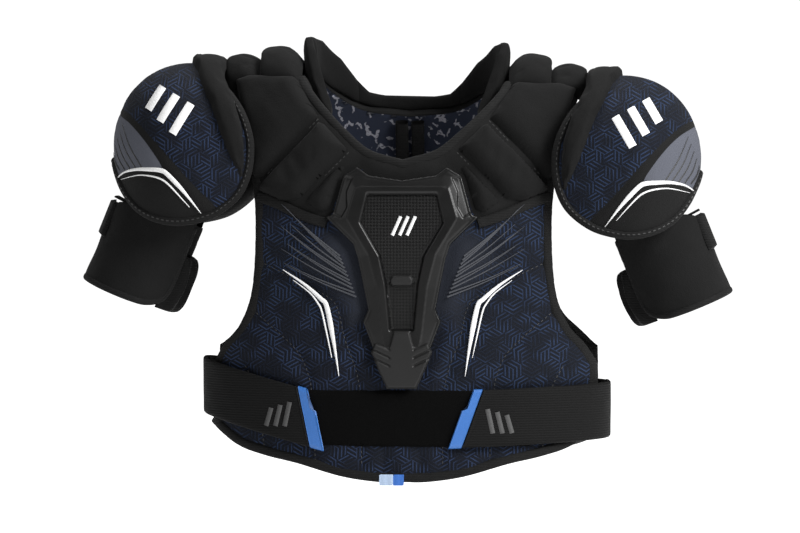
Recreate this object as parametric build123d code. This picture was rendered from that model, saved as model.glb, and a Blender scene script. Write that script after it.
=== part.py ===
"""Ice hockey shoulder pads: a padded chest and back with a collar, floating shoulder caps, upper-arm
guards that hang from the caps, and two elastic belly straps.

Row frame: +X is the viewer's right when facing the chest, -Y is the front, +Z is up. The origin is on
the wearer's centre line, midway between chest and back, level with the lowest point of the front hem.
All lengths are millimetres.
"""

import os
from functools import lru_cache
from math import cos, radians, sin

from build123d import *

# ---- torso, shared by every layer ------------------------------------------------------------------
HALF_WIDTH = 198.0  # centre line to side, on the outside of the cover
HALF_DEPTH = 105.0  # centre plane to chest or back, on the outside of the cover
ROUNDNESS = 2.2  # superellipse exponent of the torso seen from above
ARCH_START = 230.0  # height where the chest starts to lean back towards the shoulder
SHOULDER_TOP = 424.0  # height of the shoulder arch at the centre line
SHOULDER_FALL = 22.0  # how far the arch drops from the centre line to the side
FLOOR = -40.0  # construction bodies start below the hem
SECTIONS = 6  # loft sections on each side of the centre line
SECTION_SWEEP = 80.0  # degrees of superellipse covered by those sections
SPLINE_STEPS = 8  # spans in a redrawn curve

# ---- layers: distance outwards from the outside of the cover ---------------------------------------
COVER = (-1.6, 0.0)
FOAM = (-12.2, -1.8)
LINING = (-14.0, -12.4)
BINDING = (-14.6, 0.8)
BINDING_WIDTH = 9.0
EDGE_GAP = 0.3  # clearance between a binding and the layers it holds
PAD = (0.3, 12.0)
TAPE = (0.3, 2.0)
ROLL = (1.2, 12.0)
BACK_PAD = (0.5, 9.0)
SHOULDER_GAP = 0.5  # half of the gap between chest and back at the shoulder ridge
SIDE_OPENING = 30.0  # half of the gap between chest and back at the ribs

# ---- shoulder rolls, right side --------------------------------------------------------------------
INNER_ROLL_X = (106.0, 142.0)
OUTER_ROLL_X = (144.0, 178.0)
INNER_ROLL_FRONT_Z = 392.0
OUTER_ROLL_FRONT_Z = 388.0
ROLL_BACK_Z = 390.0

# ---- belly straps ----------------------------------------------------------------------------------
STRAP_WIDTH = 56.0
STRAP = (4.8, 7.4)
LANDING = (0.3, 2.3)
TAB = (2.6, 4.5)
STRAP_END_X = {"left": 89.0, "right": 58.0}  # lower corner of the elastic's end, off the centre line
STRAP_LEAN = {"left": 12.0, "right": 20.0}  # how far the end leans outwards at the top
STRAP_BASE_Z = 38.0  # lower edge of the landing strip
STRAP_RISE = {"left": 29.0, "right": 5.0}  # height gained from the strap end to the side
TAB_LENGTH = 42.0  # hook tab sewn under the elastic
TIP_WIDTH = 13.0
TIP_STEP = 4.0  # the tip is narrower by this much above the step
TIP_STEP_Z = 76.0
LANDING_HALF_LENGTH = 128.0
STRAP_SPLIT_Y = 23.0  # the strap is sewn to the back behind this plane and free in front of it
STRAP_ANCHOR_Y = 66.0

# ---- shoulder cap ----------------------------------------------------------------------------------
CAP_CENTRE = (219.0, 0.0, 328.0)
CAP_OUT = 77.0  # half axis towards the arm
CAP_IN = 150.0  # half axis towards the neck, flatter
CAP_DEPTH = 105.0
CAP_UP = 84.0
CAP_DOWN = 150.0
CAP_COVER = (-2.0, 0.0)
CAP_PLATE = (-5.2, -2.3)
CAP_FOAM = (-13.0, -5.5)
CAP_BINDING = (-13.4, 0.8)
CAP_ROLL = (1.0, 10.0)
CAP_BINDING_WIDTH = 8.0
CAP_CREASE_X = 184.0  # where the cap folds against the shoulder rolls

# ---- upper-arm guard -------------------------------------------------------------------------------
ARM_TILT = 22.0  # degrees the arm leans out from vertical
ARM_FOOT = (282.5, 0.0, 175.0)  # centre of the guard's lower edge
GUARD_HALF_WIDTH = 48.0
GUARD_HALF_DEPTH = 58.0
GUARD_LENGTH = 104.0
GUARD_WRAP = 40.0  # how far the guard reaches towards the ribs from the arm's axis
GUARD_COVER = (-2.0, 0.0)
GUARD_PLATE = (-4.6, -2.3)
GUARD_FOAM = (-12.0, -4.9)
GUARD_HEM = 9.0
HANGER_WIDTH = 38.0
HANGER = (0.3, 2.6)  # webbing lying on the outside of the guard
HANGER_BAND = (50.0, 87.5)  # its lower and upper end, along the arm
HANGER_FORWARD = 11.0  # how far the webbing sits in front of the arm's middle
ARM_STRAP = (1.2, 3.6)
ARM_STRAP_BAND = (4.0, 56.0)  # lower and upper edge, along the arm
ARM_STRAP_END = 24.0  # how far past the arm's axis the strap ends lie
ARM_LIFT = {"left": 6.0, "right": -7.0}  # the two arms hang at slightly different heights

FAR = 400.0  # longer than the object in any direction


# ---- outlines, drawn in the front view (X, Z) --------------------------------------------------------
def closed_face(right_half):
    """A face from its right half, mirrored in the centre line."""
    return make_face(right_half + [edge.mirror(Plane.YZ) for edge in right_half])


def polygon(*points):
    return make_face(Polyline(*points, close=True))


def front_outline():
    neck = Spline([(0, 321), (58, 350), (104, 402)], tangents=[(1, 0), (0.3, 1)])
    armhole = Spline([(178, 402), (150, 290), (151, 190), (194, 118)])
    hem = Spline([(193, 56), (104, 21), (0, 4)], tangents=[(-0.3, -1), (-1, 0)])
    shoulder = Polyline((104, 402), (104, 450), (178, 450), (178, 402))
    side = Line((194, 118), (193, 56))
    return closed_face([neck, *shoulder.edges(), armhole, side, hem])


def back_outline():
    neck = Spline([(0, 372), (60, 381), (104, 420)], tangents=[(1, 0), (0.5, 1)])
    armhole = Spline([(178, 402), (146, 300), (144, 210), (197, 138)])
    hem = Spline([(197, 62), (170, 29), (100, 26)])
    shoulder = Polyline((104, 420), (104, 450), (178, 450), (178, 402))
    side = Line((197, 138), (197, 62))
    return closed_face([neck, *shoulder.edges(), armhole, side, hem, Line((100, 26), (0, 26))])


def cap_outline():
    inner_rim = [(CAP_CREASE_X, 390), (158, 366), (146, 330), (152, 292)]
    lower_rim = [(182, 260), (228, 249), (264, 262), (292, 300)]
    rim = Spline([*inner_rim, *lower_rim])
    rest = Polyline((292, 300), (330, 300), (330, 440), (CAP_CREASE_X, 440), (CAP_CREASE_X, 390))
    return make_face([rim, *rest.edges()])


# ---- solids between outlines and surfaces --------------------------------------------------------------
def forward(face, start=SHOULDER_GAP):
    """A prism from a front-view face, in front of the centre plane."""
    return extrude(Plane.XZ.offset(start) * face, FAR)


def backward(face, start=SHOULDER_GAP):
    return extrude(Plane.XZ.offset(-start) * face, -FAR)


def through(face):
    return extrude(Plane.XZ.offset(-FAR) * face, 2 * FAR)


def inset(face, distance):
    """A face shrunk by a distance, its curved edges redrawn as splines."""
    edges = []
    for edge in offset(face, -distance).faces()[0].outer_wire().edges():
        if edge.geom_type == GeomType.LINE:
            edges.append(edge)
        else:
            edges.append(Spline([edge @ (step / SPLINE_STEPS) for step in range(SPLINE_STEPS + 1)]))
    return make_face(edges)


def half_depth(x, grow):
    share = min(abs(x) / (HALF_WIDTH + grow), 1.0)
    return (HALF_DEPTH + grow) * (1 - share**ROUNDNESS) ** (1 / ROUNDNESS)


@lru_cache(maxsize=None)
def torso(grow, floor=FLOOR):
    """Everything inside the torso surface that lies grow outside the cover."""
    sections = []
    for step in range(-SECTIONS, SECTIONS + 1):
        x = (HALF_WIDTH + grow) * sin(radians(SECTION_SWEEP * step / SECTIONS))
        depth = half_depth(x, grow)
        rise = SHOULDER_TOP + grow - SHOULDER_FALL * (x / HALF_WIDTH) ** 2 - ARCH_START
        arch = EllipticalCenterArc((0, ARCH_START), depth, rise, start_angle=0, arc_size=180)
        walls = Polyline((-depth, ARCH_START), (-depth, floor), (depth, floor), (depth, ARCH_START))
        sections.append(Plane.YZ.offset(x) * make_face([arch, *walls.edges()]))
    return loft(sections)


@lru_cache(maxsize=None)
def torso_layer(span):
    inner, outer = span
    return torso(outer) - torso(inner, FLOOR - 10)


@lru_cache(maxsize=None)
def waist_layer(span):
    """The torso layer below the arch, closed round the sides, for the straps."""
    faces = []
    for grow in span:
        wide, deep = HALF_WIDTH + grow, HALF_DEPTH + grow
        quarter = [
            (wide * cos(radians(a)) ** (2 / ROUNDNESS), deep * sin(radians(a)) ** (2 / ROUNDNESS))
            for a in (0, 8, 20, 32, 45, 58, 70, 82)
        ]
        corner = [*quarter, (0.0, deep)]
        ring = corner + [(-x, y) for x, y in corner[-2::-1]]
        ring += [(x, -y) for x, y in ring[-2:0:-1]]
        faces.append(make_face(Spline(ring, periodic=True)))
    return extrude(faces[1] - faces[0], ARCH_START)


@lru_cache(maxsize=None)
def cap_body(grow):
    """Everything inside the right cap: an egg, flatter towards the neck and longer below."""
    x, y, z = CAP_CENTRE
    sections = []
    for half_width, angles in ((CAP_IN, (-40, -27, -13)), (CAP_OUT, (0, 20, 38, 54, 68, 80))):
        for angle in angles:
            share = cos(radians(angle))
            depth, up, down = [(axis + grow) * share for axis in (CAP_DEPTH, CAP_UP, CAP_DOWN)]
            over = EllipticalCenterArc((0, 0), depth, up, start_angle=0, arc_size=180)
            under = EllipticalCenterArc((0, 0), depth, down, start_angle=180, arc_size=180)
            out = x + (half_width + grow) * sin(radians(angle))
            at = Plane((out, y, z), x_dir=(0, 1, 0), z_dir=(1, 0, 0))
            sections.append(at * make_face([over, under]))
    return loft([*sections, Vertex(x + CAP_OUT + grow, y, z)])


def cap_layer(span, face):
    inner, outer = span
    return (cap_body(outer) - cap_body(inner)) & through(face)


def arm_frame(height=0.0):
    """The arm's own frame: X away from the ribs, Y to the back, Z up the arm."""
    out = (cos(radians(ARM_TILT)), 0, sin(radians(ARM_TILT)))
    up = (-sin(radians(ARM_TILT)), 0, cos(radians(ARM_TILT)))
    origin = Vector(*ARM_FOOT) + Vector(*up) * height
    return Plane(origin=origin, x_dir=out, z_dir=up)


def arm_tube(span, low, high):
    inner, outer = span
    ring = Ellipse(GUARD_HALF_WIDTH + outer, GUARD_HALF_DEPTH + outer) - Ellipse(
        GUARD_HALF_WIDTH + inner, GUARD_HALF_DEPTH + inner
    )
    return arm_frame(low) * extrude(ring, high - low)


def arm_block(x_low, x_high, low=-FAR, high=FAR):
    block = Box(x_high - x_low, FAR, high - low)
    return arm_frame() * Pos((x_low + x_high) / 2, 0, (low + high) / 2) * block


# ---- the torso shells -------------------------------------------------------------------------------
def side_opening(half_gap):
    """The open space at the ribs, where chest and back do not meet."""
    return Pos(0, 0, (FLOOR + ARCH_START) / 2) * Box(3 * FAR, 2 * half_gap, ARCH_START - FLOOR)


def panel(outline, throw):
    """Cover, foam, lining and edge binding of the chest or the back."""

    def within(width):
        return throw(inset(outline, width) if width else outline) - side_opening(SIDE_OPENING + width)

    body = within(BINDING_WIDTH + EDGE_GAP)
    edge = within(0) - within(BINDING_WIDTH)
    return {
        "cover": torso_layer(COVER) & body,
        "foam": torso_layer(FOAM) & body,
        "lining": torso_layer(LINING) & body,
        "binding": torso_layer(BINDING) & edge,
    }


def clavicle_pads():
    """Three quilted pads between the neckline and the armhole, right side."""
    inside = inset(front_outline(), BINDING_WIDTH + 2 * EDGE_GAP)
    outer = polygon((90, 386), (162, 386), (156, 366), (143, 330), (142, 299), (137, 303), (80, 360))
    middle = polygon((78, 358), (135, 301), (146, 293), (103, 277), (50, 330))
    wedge = polygon((47, 330), (101, 276), (79, 267), (62, 300))
    layer = torso_layer(PAD)
    return [layer & forward(pad & inside) for pad in (outer, middle, wedge)]


def seam_tapes():
    band = polygon((83, 263), (103, 272), (136, 286), (136, 277), (104, 263), (84, 254))
    tape = torso_layer(TAPE) & forward(band)
    return [tape, tape.mirror(Plane.YZ)]


# ---- the sternum guard -------------------------------------------------------------------------------
PLATE_EDGE = [(0, 299), (32, 304), (43, 312), (58, 303), (68, 266), (75, 264), (47, 237), (43, 224)]
PLATE_EDGE += [(33, 174), (38, 162), (26, 129), (19, 117), (10, 113), (6, 150), (10, 154)]
PLATE_WINDOW = [(0, 284), (32, 284), (38, 258), (20, 227), (14, 198), (10, 154)]


def half_polygon(points):
    return polygon(*points, *[(-x, z) for x, z in reversed(points) if x])


def sternum_guard():
    window = half_polygon(PLATE_WINDOW)
    frame = half_polygon([*PLATE_EDGE[:-2], (10, 154)]) - offset(window, 0.4)
    insert = half_polygon([(0, 282), (30, 282), (35, 258), (18, 227), (12.5, 203), (0, 203)])
    channel = half_polygon([(0, 191), (12, 191), (9, 156), (0, 156)])
    clip = half_polygon([(0, 201), (11, 201), (11, 193), (0, 193)])
    tail = half_polygon([(0, 153), (8, 153), (9, 112), (18, 115), (14, 96), (0, 96)])
    backing = inset(half_polygon([*PLATE_EDGE[:-2], (14, 97), (0, 97)]), 4)
    return {
        "sternum_backing": torso_layer(TAPE) & forward(backing),
        "sternum_frame": torso_layer((2.3, 10.0)) & forward(frame),
        "sternum_insert": torso_layer((2.3, 8.0)) & forward(insert),
        "sternum_channel": torso_layer((2.3, 5.5)) & forward(channel),
        "sternum_clip": torso_layer((2.3, 7.5)) & forward(clip),
        "sternum_tail": torso_layer((2.3, 8.0)) & forward(tail),
    }


# ---- the back ---------------------------------------------------------------------------------------
def back_pads():
    """Moulded pads on the outside of the back. The spine guard's outer face is flat."""
    spine_box = Pos(0, 98, 192) * Box(64, 36, 200)
    spine_box = chamfer(spine_box.edges().group_by(Axis.Y)[-1], 4)
    blade = polygon((42, 196), (120, 214), (132, 300), (110, 338), (42, 346))
    blade_pad = torso_layer(BACK_PAD) & backward(fillet(blade.vertices(), 10))
    kidney = polygon((-112, 48), (112, 48), (96, 84), (-96, 84))
    kidney_pad = torso_layer(BACK_PAD) & backward(fillet(kidney.vertices(), 8))
    return {
        "spine_guard": spine_box - torso(0.5),
        "back_pads": Compound([blade_pad, blade_pad.mirror(Plane.YZ), kidney_pad]),
    }


def spine_loops():
    """Two folded fabric tapes inside the back of the neck."""
    tape = polygon((1.5, 292), (16, 292), (16, 370), (1.5, 370))
    loop = torso_layer((-21.0, -15.0)) & backward(tape)
    return Compound([loop, loop.mirror(Plane.YZ)])


# ---- the collar and the shoulder rolls -------------------------------------------------------------------
COLLAR_PLAN = (103.0, 78.0)  # half axes of the collar's outer face, from above
COLLAR_THICKNESS = 11.0
COLLAR_BACK_X = 52.0  # side pads end and the back pad starts here


def collar():
    """Standing collar: highest at the sides of the neck, low at the nape."""
    wide, deep = COLLAR_PLAN
    plan = Ellipse(wide, deep) - Ellipse(wide - COLLAR_THICKNESS, deep - COLLAR_THICKNESS)
    ring = Pos(0, 0, 330) * extrude(plan, 130)
    crest = Spline([(-46, 366), (-30, 412), (-4, 447), (31, 444), (50, 426), (66, 395), (80, 389)])
    under = Polyline((80, 389), (80, 330), (-46, 330), (-46, 366))
    ring &= extrude(Plane.YZ.offset(-FAR) * make_face([crest, *under.edges()]), 2 * FAR)
    top = [Line((104.5, 425), (104.5, 470)), Line((104.5, 470), (0, 470))]
    front_neck = Spline([(0, 323), (58, 352), (104.5, 425)], tangents=[(1, 0), (0.2, 1)])
    back_neck = Spline([(0, 374), (60, 383), (104.5, 425)], tangents=[(1, 0), (0.5, 1)])
    front_hole = forward(inset(closed_face([front_neck, *top]), 1), 0)
    back_hole = backward(inset(closed_face([back_neck, *top]), 1), 0)
    ring &= front_hole + back_hole
    side = ring & Pos(COLLAR_BACK_X + FAR / 2, 0, 0) * Box(FAR, FAR, 3 * FAR)
    nape = ring & Pos(0, FAR / 2, 0) * Box(2 * COLLAR_BACK_X - 1, FAR, 3 * FAR)
    return side, nape


def shoulder_roll(span, front_z):
    """A padded roll across the shoulder, from the chest to the back, right side."""
    (x_low, x_high), back_z = span, ROLL_BACK_Z
    front = forward(polygon((x_low, front_z), (x_high, front_z), (x_high, 450), (x_low, 450)), -0.01)
    back = backward(polygon((x_low, back_z), (x_high, back_z), (x_high, 450), (x_low, 450)), -0.01)
    return torso_layer(ROLL) & (front + back)


# ---- straps --------------------------------------------------------------------------------------------
def strap_band(side, x_low, x_high, lean_low=0.0, lean_high=0.0):
    """Front-view band of a strap, drawn on the right. Its ends lean outwards at the top."""
    rise = STRAP_RISE[side] / (HALF_WIDTH - STRAP_END_X[side])

    def low(x):
        return STRAP_BASE_Z + rise * (x - STRAP_END_X[side])

    return polygon(
        (x_low, low(x_low)),
        (x_high, low(x_high)),
        (x_high + lean_high, low(x_high) + STRAP_WIDTH),
        (x_low + lean_low, low(x_low) + STRAP_WIDTH),
    )


def strap_tip(side):
    """Front view of the coloured tip. Its inner edge steps back near the top."""
    end, lean = STRAP_END_X[side], STRAP_LEAN[side]
    inner = end - TIP_WIDTH
    above_step = polygon((0, TIP_STEP_Z), (FAR, TIP_STEP_Z), (FAR, FAR), (0, FAR))
    corner = strap_band(side, inner - TIP_WIDTH, inner + TIP_STEP, lean, lean) & above_step
    return strap_band(side, inner, end - 1, lean, lean) - corner


def belly_strap(side):
    """Elastic, hook tab and coloured tip, drawn on the right, and the part sewn to the back."""
    in_front = Pos(0, STRAP_SPLIT_Y - FAR / 2, 0) * Box(3 * FAR, FAR, 3 * FAR)
    end, lean = STRAP_END_X[side], STRAP_LEAN[side]
    band = through(strap_band(side, end, FAR, lean))
    split = STRAP_SPLIT_Y + 1
    behind = Pos(0, (split + STRAP_ANCHOR_Y) / 2, 0) * Box(3 * FAR, STRAP_ANCHOR_Y - split, 3 * FAR)
    tab = forward(strap_band(side, end - 1 + EDGE_GAP, end + TAB_LENGTH, lean))
    return {
        "belly_strap": waist_layer(STRAP) & band & in_front,
        "strap_tab": waist_layer(TAB) & tab,
        "strap_tip": waist_layer(TAB) & forward(strap_tip(side)),
        "strap_anchor": waist_layer((2.2, 4.6)) & band & behind,
    }


# ---- arm assembly ---------------------------------------------------------------------------------------
def shoulder_cap():
    """Cover, moulded plate, foam, rim binding and inner roll of the right cap."""
    outline = cap_outline()
    body = inset(outline, CAP_BINDING_WIDTH + EDGE_GAP)
    rim = outline - inset(outline, CAP_BINDING_WIDTH)
    outer_edge = [(224, 440), (220, 400), (204, 382), (188, 342), (176, 314), (170, 296)]
    inner_edge = [(160, 320), (166, 356), (198, 440)]
    roll = polygon(*outer_edge, *inner_edge)
    return {
        "cap_cover": cap_layer(CAP_COVER, body),
        "cap_plate": cap_layer(CAP_PLATE, body),
        "cap_foam": cap_layer(CAP_FOAM, body),
        "cap_binding": cap_layer(CAP_BINDING, rim),
        "cap_roll": cap_layer(CAP_ROLL, roll),
    }


def arm_guard():
    """Cover, moulded plate, foam and hem of the right upper-arm guard."""
    under_rim = polygon((250, 239), (270, 249), (304, 283), (360, 283), (360, 440), (250, 440))
    keep_clear = through(under_rim)
    wrap = arm_block(-GUARD_WRAP, FAR)

    def layer(span, low, high):
        return (arm_tube(span, low, high) & wrap) - keep_clear

    return {
        "guard_cover": layer(GUARD_COVER, GUARD_HEM + EDGE_GAP, GUARD_LENGTH),
        "guard_plate": layer(GUARD_PLATE, GUARD_HEM + EDGE_GAP, GUARD_LENGTH - 8),
        "guard_foam": layer(GUARD_FOAM, GUARD_HEM + EDGE_GAP, GUARD_LENGTH),
        "guard_hem": layer((-12.4, 0.8), 0, GUARD_HEM),
    }


def arm_hanger():
    """Webbing on the outside of the arm: one end sewn inside the cap, the other to the guard."""
    inside_cap = [(267, 296), (270, 281), (274, 269.6), (281, 269.6), (292.2, 276)]
    back_up = [(291.8, 278), (281, 272), (275.3, 271.7), (272.3, 282), (269.5, 297)]
    root = extrude(Plane.XZ.offset(-HANGER_WIDTH / 2) * polygon(*inside_cap, *back_up), HANGER_WIDTH)
    low, high = HANGER_BAND
    outside = Box(GUARD_HALF_WIDTH, HANGER_WIDTH, FAR)
    outside = arm_frame() * Pos(GUARD_HALF_WIDTH, -HANGER_FORWARD, 0) * outside
    return root, arm_tube(HANGER, low, high) & outside


def arm_strap():
    """Elastic that closes the guard round the inside of the arm."""
    low, high = ARM_STRAP_BAND
    return arm_tube(ARM_STRAP, low, high) & arm_block(-FAR, -ARM_STRAP_END)


# ---- assembly ----------------------------------------------------------------------------------------------
def both_sides(name, shape):
    return {f"{name}_right": shape, f"{name}_left": shape.mirror(Plane.YZ)}


def build():
    nodes = {}
    for name, shape in panel(front_outline(), forward).items():
        nodes[f"front_{name}"] = shape
    for name, shape in panel(back_outline(), backward).items():
        nodes[f"back_{name}"] = shape
    pads = clavicle_pads()
    nodes |= both_sides("clavicle_pads", Compound(pads))
    nodes["seam_tapes"] = Compound(seam_tapes())
    nodes |= sternum_guard()
    nodes |= back_pads()
    nodes["spine_loops"] = spine_loops()

    side_collar, nape_collar = collar()
    nodes |= both_sides("collar_pad", side_collar)
    nodes["collar_back"] = nape_collar
    nodes |= both_sides("inner_roll", shoulder_roll(INNER_ROLL_X, INNER_ROLL_FRONT_Z))
    nodes |= both_sides("outer_roll", shoulder_roll(OUTER_ROLL_X, OUTER_ROLL_FRONT_Z))

    top, reach = STRAP_BASE_Z + STRAP_WIDTH, LANDING_HALF_LENGTH
    landing = polygon((-reach, STRAP_BASE_Z), (reach, STRAP_BASE_Z), (reach, top), (-reach, top))
    nodes["landing_strip"] = torso_layer(LANDING) & forward(landing)
    label = polygon((-22, 0.5), (2, 0.5), (2, 11.5), (-22, 11.5))
    nodes["size_label"] = torso_layer((1.2, 2.0)) & forward(label)

    anchors = []
    for side in ("right", "left"):
        for name, shape in belly_strap(side).items():
            placed = shape if side == "right" else shape.mirror(Plane.YZ)
            if name == "strap_anchor":
                anchors.append(placed)
            else:
                nodes[f"{name}_{side}"] = placed
    nodes["strap_anchors"] = Compound(anchors)

    hanger_root, hanger_strap = arm_hanger()
    arm = {**shoulder_cap(), **arm_guard(), "hanger_root": hanger_root, "hanger_strap": hanger_strap}
    arm["arm_strap"] = arm_strap()
    for name, shape in arm.items():
        nodes[f"{name}_right"] = Pos(0, 0, ARM_LIFT["right"]) * shape
        nodes[f"{name}_left"] = Pos(0, 0, ARM_LIFT["left"]) * shape.mirror(Plane.YZ)
    return nodes


def write(nodes, folder="parts"):
    os.makedirs(folder, exist_ok=True)
    for name, shape in nodes.items():
        solids = shape.solids()
        export_step(solids[0] if len(solids) == 1 else Compound(solids), f"{folder}/{name}.step")


if __name__ == "__main__":
    write(build())
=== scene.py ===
"""The looks of the ice hockey shoulder pads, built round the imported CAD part.

Shapes are worked out in millimetres in the row frame (+X right, -Y front, +Z up) and become metres
when a mesh is made. Outlines are drawn in the front view (X, Z) and wrapped onto the torso, the caps
and the arm guards. The right side is drawn and mirrored for the left.
"""

import math

import bpy
import numpy as np
from mathutils import Matrix, Vector


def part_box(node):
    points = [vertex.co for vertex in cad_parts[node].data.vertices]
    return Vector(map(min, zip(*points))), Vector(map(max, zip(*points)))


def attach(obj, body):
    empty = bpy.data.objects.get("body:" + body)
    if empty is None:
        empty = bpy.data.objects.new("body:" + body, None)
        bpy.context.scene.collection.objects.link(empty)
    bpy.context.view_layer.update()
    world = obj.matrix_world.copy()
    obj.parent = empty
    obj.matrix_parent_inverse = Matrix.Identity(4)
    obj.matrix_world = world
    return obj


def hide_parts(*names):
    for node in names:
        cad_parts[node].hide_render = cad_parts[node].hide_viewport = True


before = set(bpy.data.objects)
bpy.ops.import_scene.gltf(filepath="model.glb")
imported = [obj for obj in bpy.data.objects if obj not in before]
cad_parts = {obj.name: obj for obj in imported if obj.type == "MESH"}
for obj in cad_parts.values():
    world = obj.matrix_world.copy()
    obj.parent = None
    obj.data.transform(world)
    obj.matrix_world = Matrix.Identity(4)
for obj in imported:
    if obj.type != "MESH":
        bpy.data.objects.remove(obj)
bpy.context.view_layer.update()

MM = 0.001
CLOTH_FRAMES = 20
SIDES = (("right", 1), ("left", -1))

# ---- the shapes of the body, as in the CAD part
HALF_WIDTH = 198.0
HALF_DEPTH = 105.0
ROUNDNESS = 2.2
ARCH_START = 230.0
SHOULDER_TOP = 424.0
SHOULDER_FALL = 22.0
CAP_X, CAP_Z = 219.0, 328.0
CAP_OUT, CAP_IN, CAP_DEPTH, CAP_UP, CAP_DOWN = 77.0, 150.0, 105.0, 84.0, 150.0
ARM_TILT = math.radians(22.0)
ARM_LIFT = {1: -7.0, -1: 6.0}  # the two arms hang at slightly different heights
SHOULDER_TILT = 5.0  # and so do the padded rolls, at TILT_REACH from the middle
TILT_LOW, TILT_HIGH, TILT_REACH = 330.0, 410.0, 160.0  # the heights between which the tilt sets in
ARM_X, ARM_Z = 282.5, 175.0
GUARD_WIDE, GUARD_DEEP = 48.0, 58.0  # half sizes of the arm guard across and front to back


def torso_arc(x, lean, grow):
    """A point on the torso by its sideways place and how far it leans over the shoulder (0 to pi)."""
    flat = (1 - np.minimum(np.abs(x) / HALF_WIDTH, 0.9995) ** ROUNDNESS) ** (1 / ROUNDNESS)
    rise = SHOULDER_TOP - SHOULDER_FALL * (x / HALF_WIDTH) ** 2 - ARCH_START
    return np.stack(
        [
            x * (1 + grow / HALF_WIDTH),
            -(HALF_DEPTH + grow) * flat * np.cos(lean),
            ARCH_START + (rise + grow) * np.sin(lean),
        ],
        axis=-1,
    )


def torso_lean(x, z):
    rise = SHOULDER_TOP - SHOULDER_FALL * (x / HALF_WIDTH) ** 2 - ARCH_START
    return np.arcsin(np.clip((z - ARCH_START) / rise, 0, 1))


def chest(x, z, grow):
    """A point on the chest, at a height above the cover."""
    point = torso_arc(x, torso_lean(x, z), grow)
    point[..., 2] = np.where(z < ARCH_START, z, point[..., 2])
    return point


def back(x, z, grow):
    return chest(x, z, grow) * [1, -1, 1]


def cap_front(x, z, grow):
    """A point on the front half of the right cap. Places beyond its outline land on the outline."""
    wide = np.where(x < CAP_X, CAP_IN, CAP_OUT)
    tall = np.where(z < CAP_Z, CAP_DOWN, CAP_UP)
    across, up = (x - CAP_X) / wide, (z - CAP_Z) / tall
    reach = np.maximum(np.hypot(across, up), 1.0)
    across, up = across / reach, up / reach
    deep = np.sqrt(np.maximum(1 - across**2 - up**2, 0))
    return np.stack(
        [CAP_X + (wide + grow) * across, -(CAP_DEPTH + grow) * deep, CAP_Z + (tall + grow) * up],
        axis=-1,
    )


def cap_back(x, z, grow):
    return cap_front(x, z, grow) * [1, -1, 1]


def arm_point(across, deep, up):
    """A point in the right arm's frame: across away from the ribs, deep to the back, up the arm."""
    return np.stack(
        [
            ARM_X + across * math.cos(ARM_TILT) - up * math.sin(ARM_TILT),
            deep + 0 * across,
            ARM_Z + across * math.sin(ARM_TILT) + up * math.cos(ARM_TILT),
        ],
        axis=-1,
    )


def arm_tube(angle, up, grow):
    """A point on the arm guard. Angle 0 is away from the ribs and a quarter turn is the front."""
    return arm_point((GUARD_WIDE + grow) * np.cos(angle), -(GUARD_DEEP + grow) * np.sin(angle), up)


# ---- flat geometry
def smooth(*points, spans=8):
    """Points along a curve through the given ones."""
    p = np.array(points, float)
    p = np.vstack([2 * p[0] - p[1], p, 2 * p[-1] - p[-2]])
    t = (np.arange(spans) / spans)[:, None]
    runs = []
    for a, b, c, d in zip(p[:-3], p[1:-2], p[2:-1], p[3:]):
        square = (2 * a - 5 * b + 4 * c - d) * t**2
        cube = (3 * b - a - 3 * c + d) * t**3
        runs.append(0.5 * (2 * b + (c - a) * t + square + cube))
    return np.vstack(runs + [p[-2:-1]])


def resample(path, step):
    """The same path with points a fixed step apart."""
    path = np.array(path, float)
    run = np.concatenate([[0], np.cumsum(np.linalg.norm(np.diff(path, axis=0), axis=1))])
    at = np.linspace(0, run[-1], max(2, int(round(run[-1] / step)) + 1))
    return np.stack([np.interp(at, run, path[:, k]) for k in range(path.shape[1])], axis=1)


def fine_loop(corners, step):
    """A closed loop with points a fixed step apart."""
    return resample(np.vstack([corners, corners[:1]]), step)[:-1]


def spread(path, shares):
    """The places at the given shares of a path's points."""
    at = np.linspace(0, 1, len(path))
    return np.stack([np.interp(shares, at, path[:, k]) for k in (0, 1)], axis=1)


def sideways(path):
    """A unit direction at each point of a flat path, a quarter turn to the left of its run."""
    heading = np.gradient(path, axis=0)
    heading /= np.maximum(np.linalg.norm(heading, axis=1), 1e-9)[:, None]
    return np.stack([-heading[:, 1], heading[:, 0]], axis=1)


def section(count, power, other=None):
    """The two coordinates of a rounded box, from -1 to 1, going once round it."""
    turns = np.linspace(0, 2 * math.pi, count, endpoint=False)
    first = np.sign(np.cos(turns)) * np.abs(np.cos(turns)) ** power
    second = np.sign(np.sin(turns)) * np.abs(np.sin(turns)) ** (other or power)
    return first, second


def across_middle(half, shift):
    """A whole edge from its right half, which ends on the centre line, moved up or down."""
    return np.vstack([half, half[-2::-1] * [-1, 1]]) + [0, shift]


def mirrored(half):
    """A loop from its right half, which starts and ends on the centre line."""
    half = np.array(half, float)
    return np.vstack([half, half[::-1] * [-1, 1]])


def nearest(points, line):
    """The distance from each point to a line, and the closest place on it."""
    start, run = line[:-1], np.diff(line, axis=0)
    length = np.maximum((run**2).sum(1), 1e-9)
    offset = points[:, None] - start[None]
    t = np.clip((offset * run).sum(2) / length, 0, 1)
    gap = np.linalg.norm(offset - t[..., None] * run, axis=2)
    best = gap.argmin(1)
    rows = np.arange(len(points))
    return gap[rows, best], start[best] + t[rows, best, None] * run[best]


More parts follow.
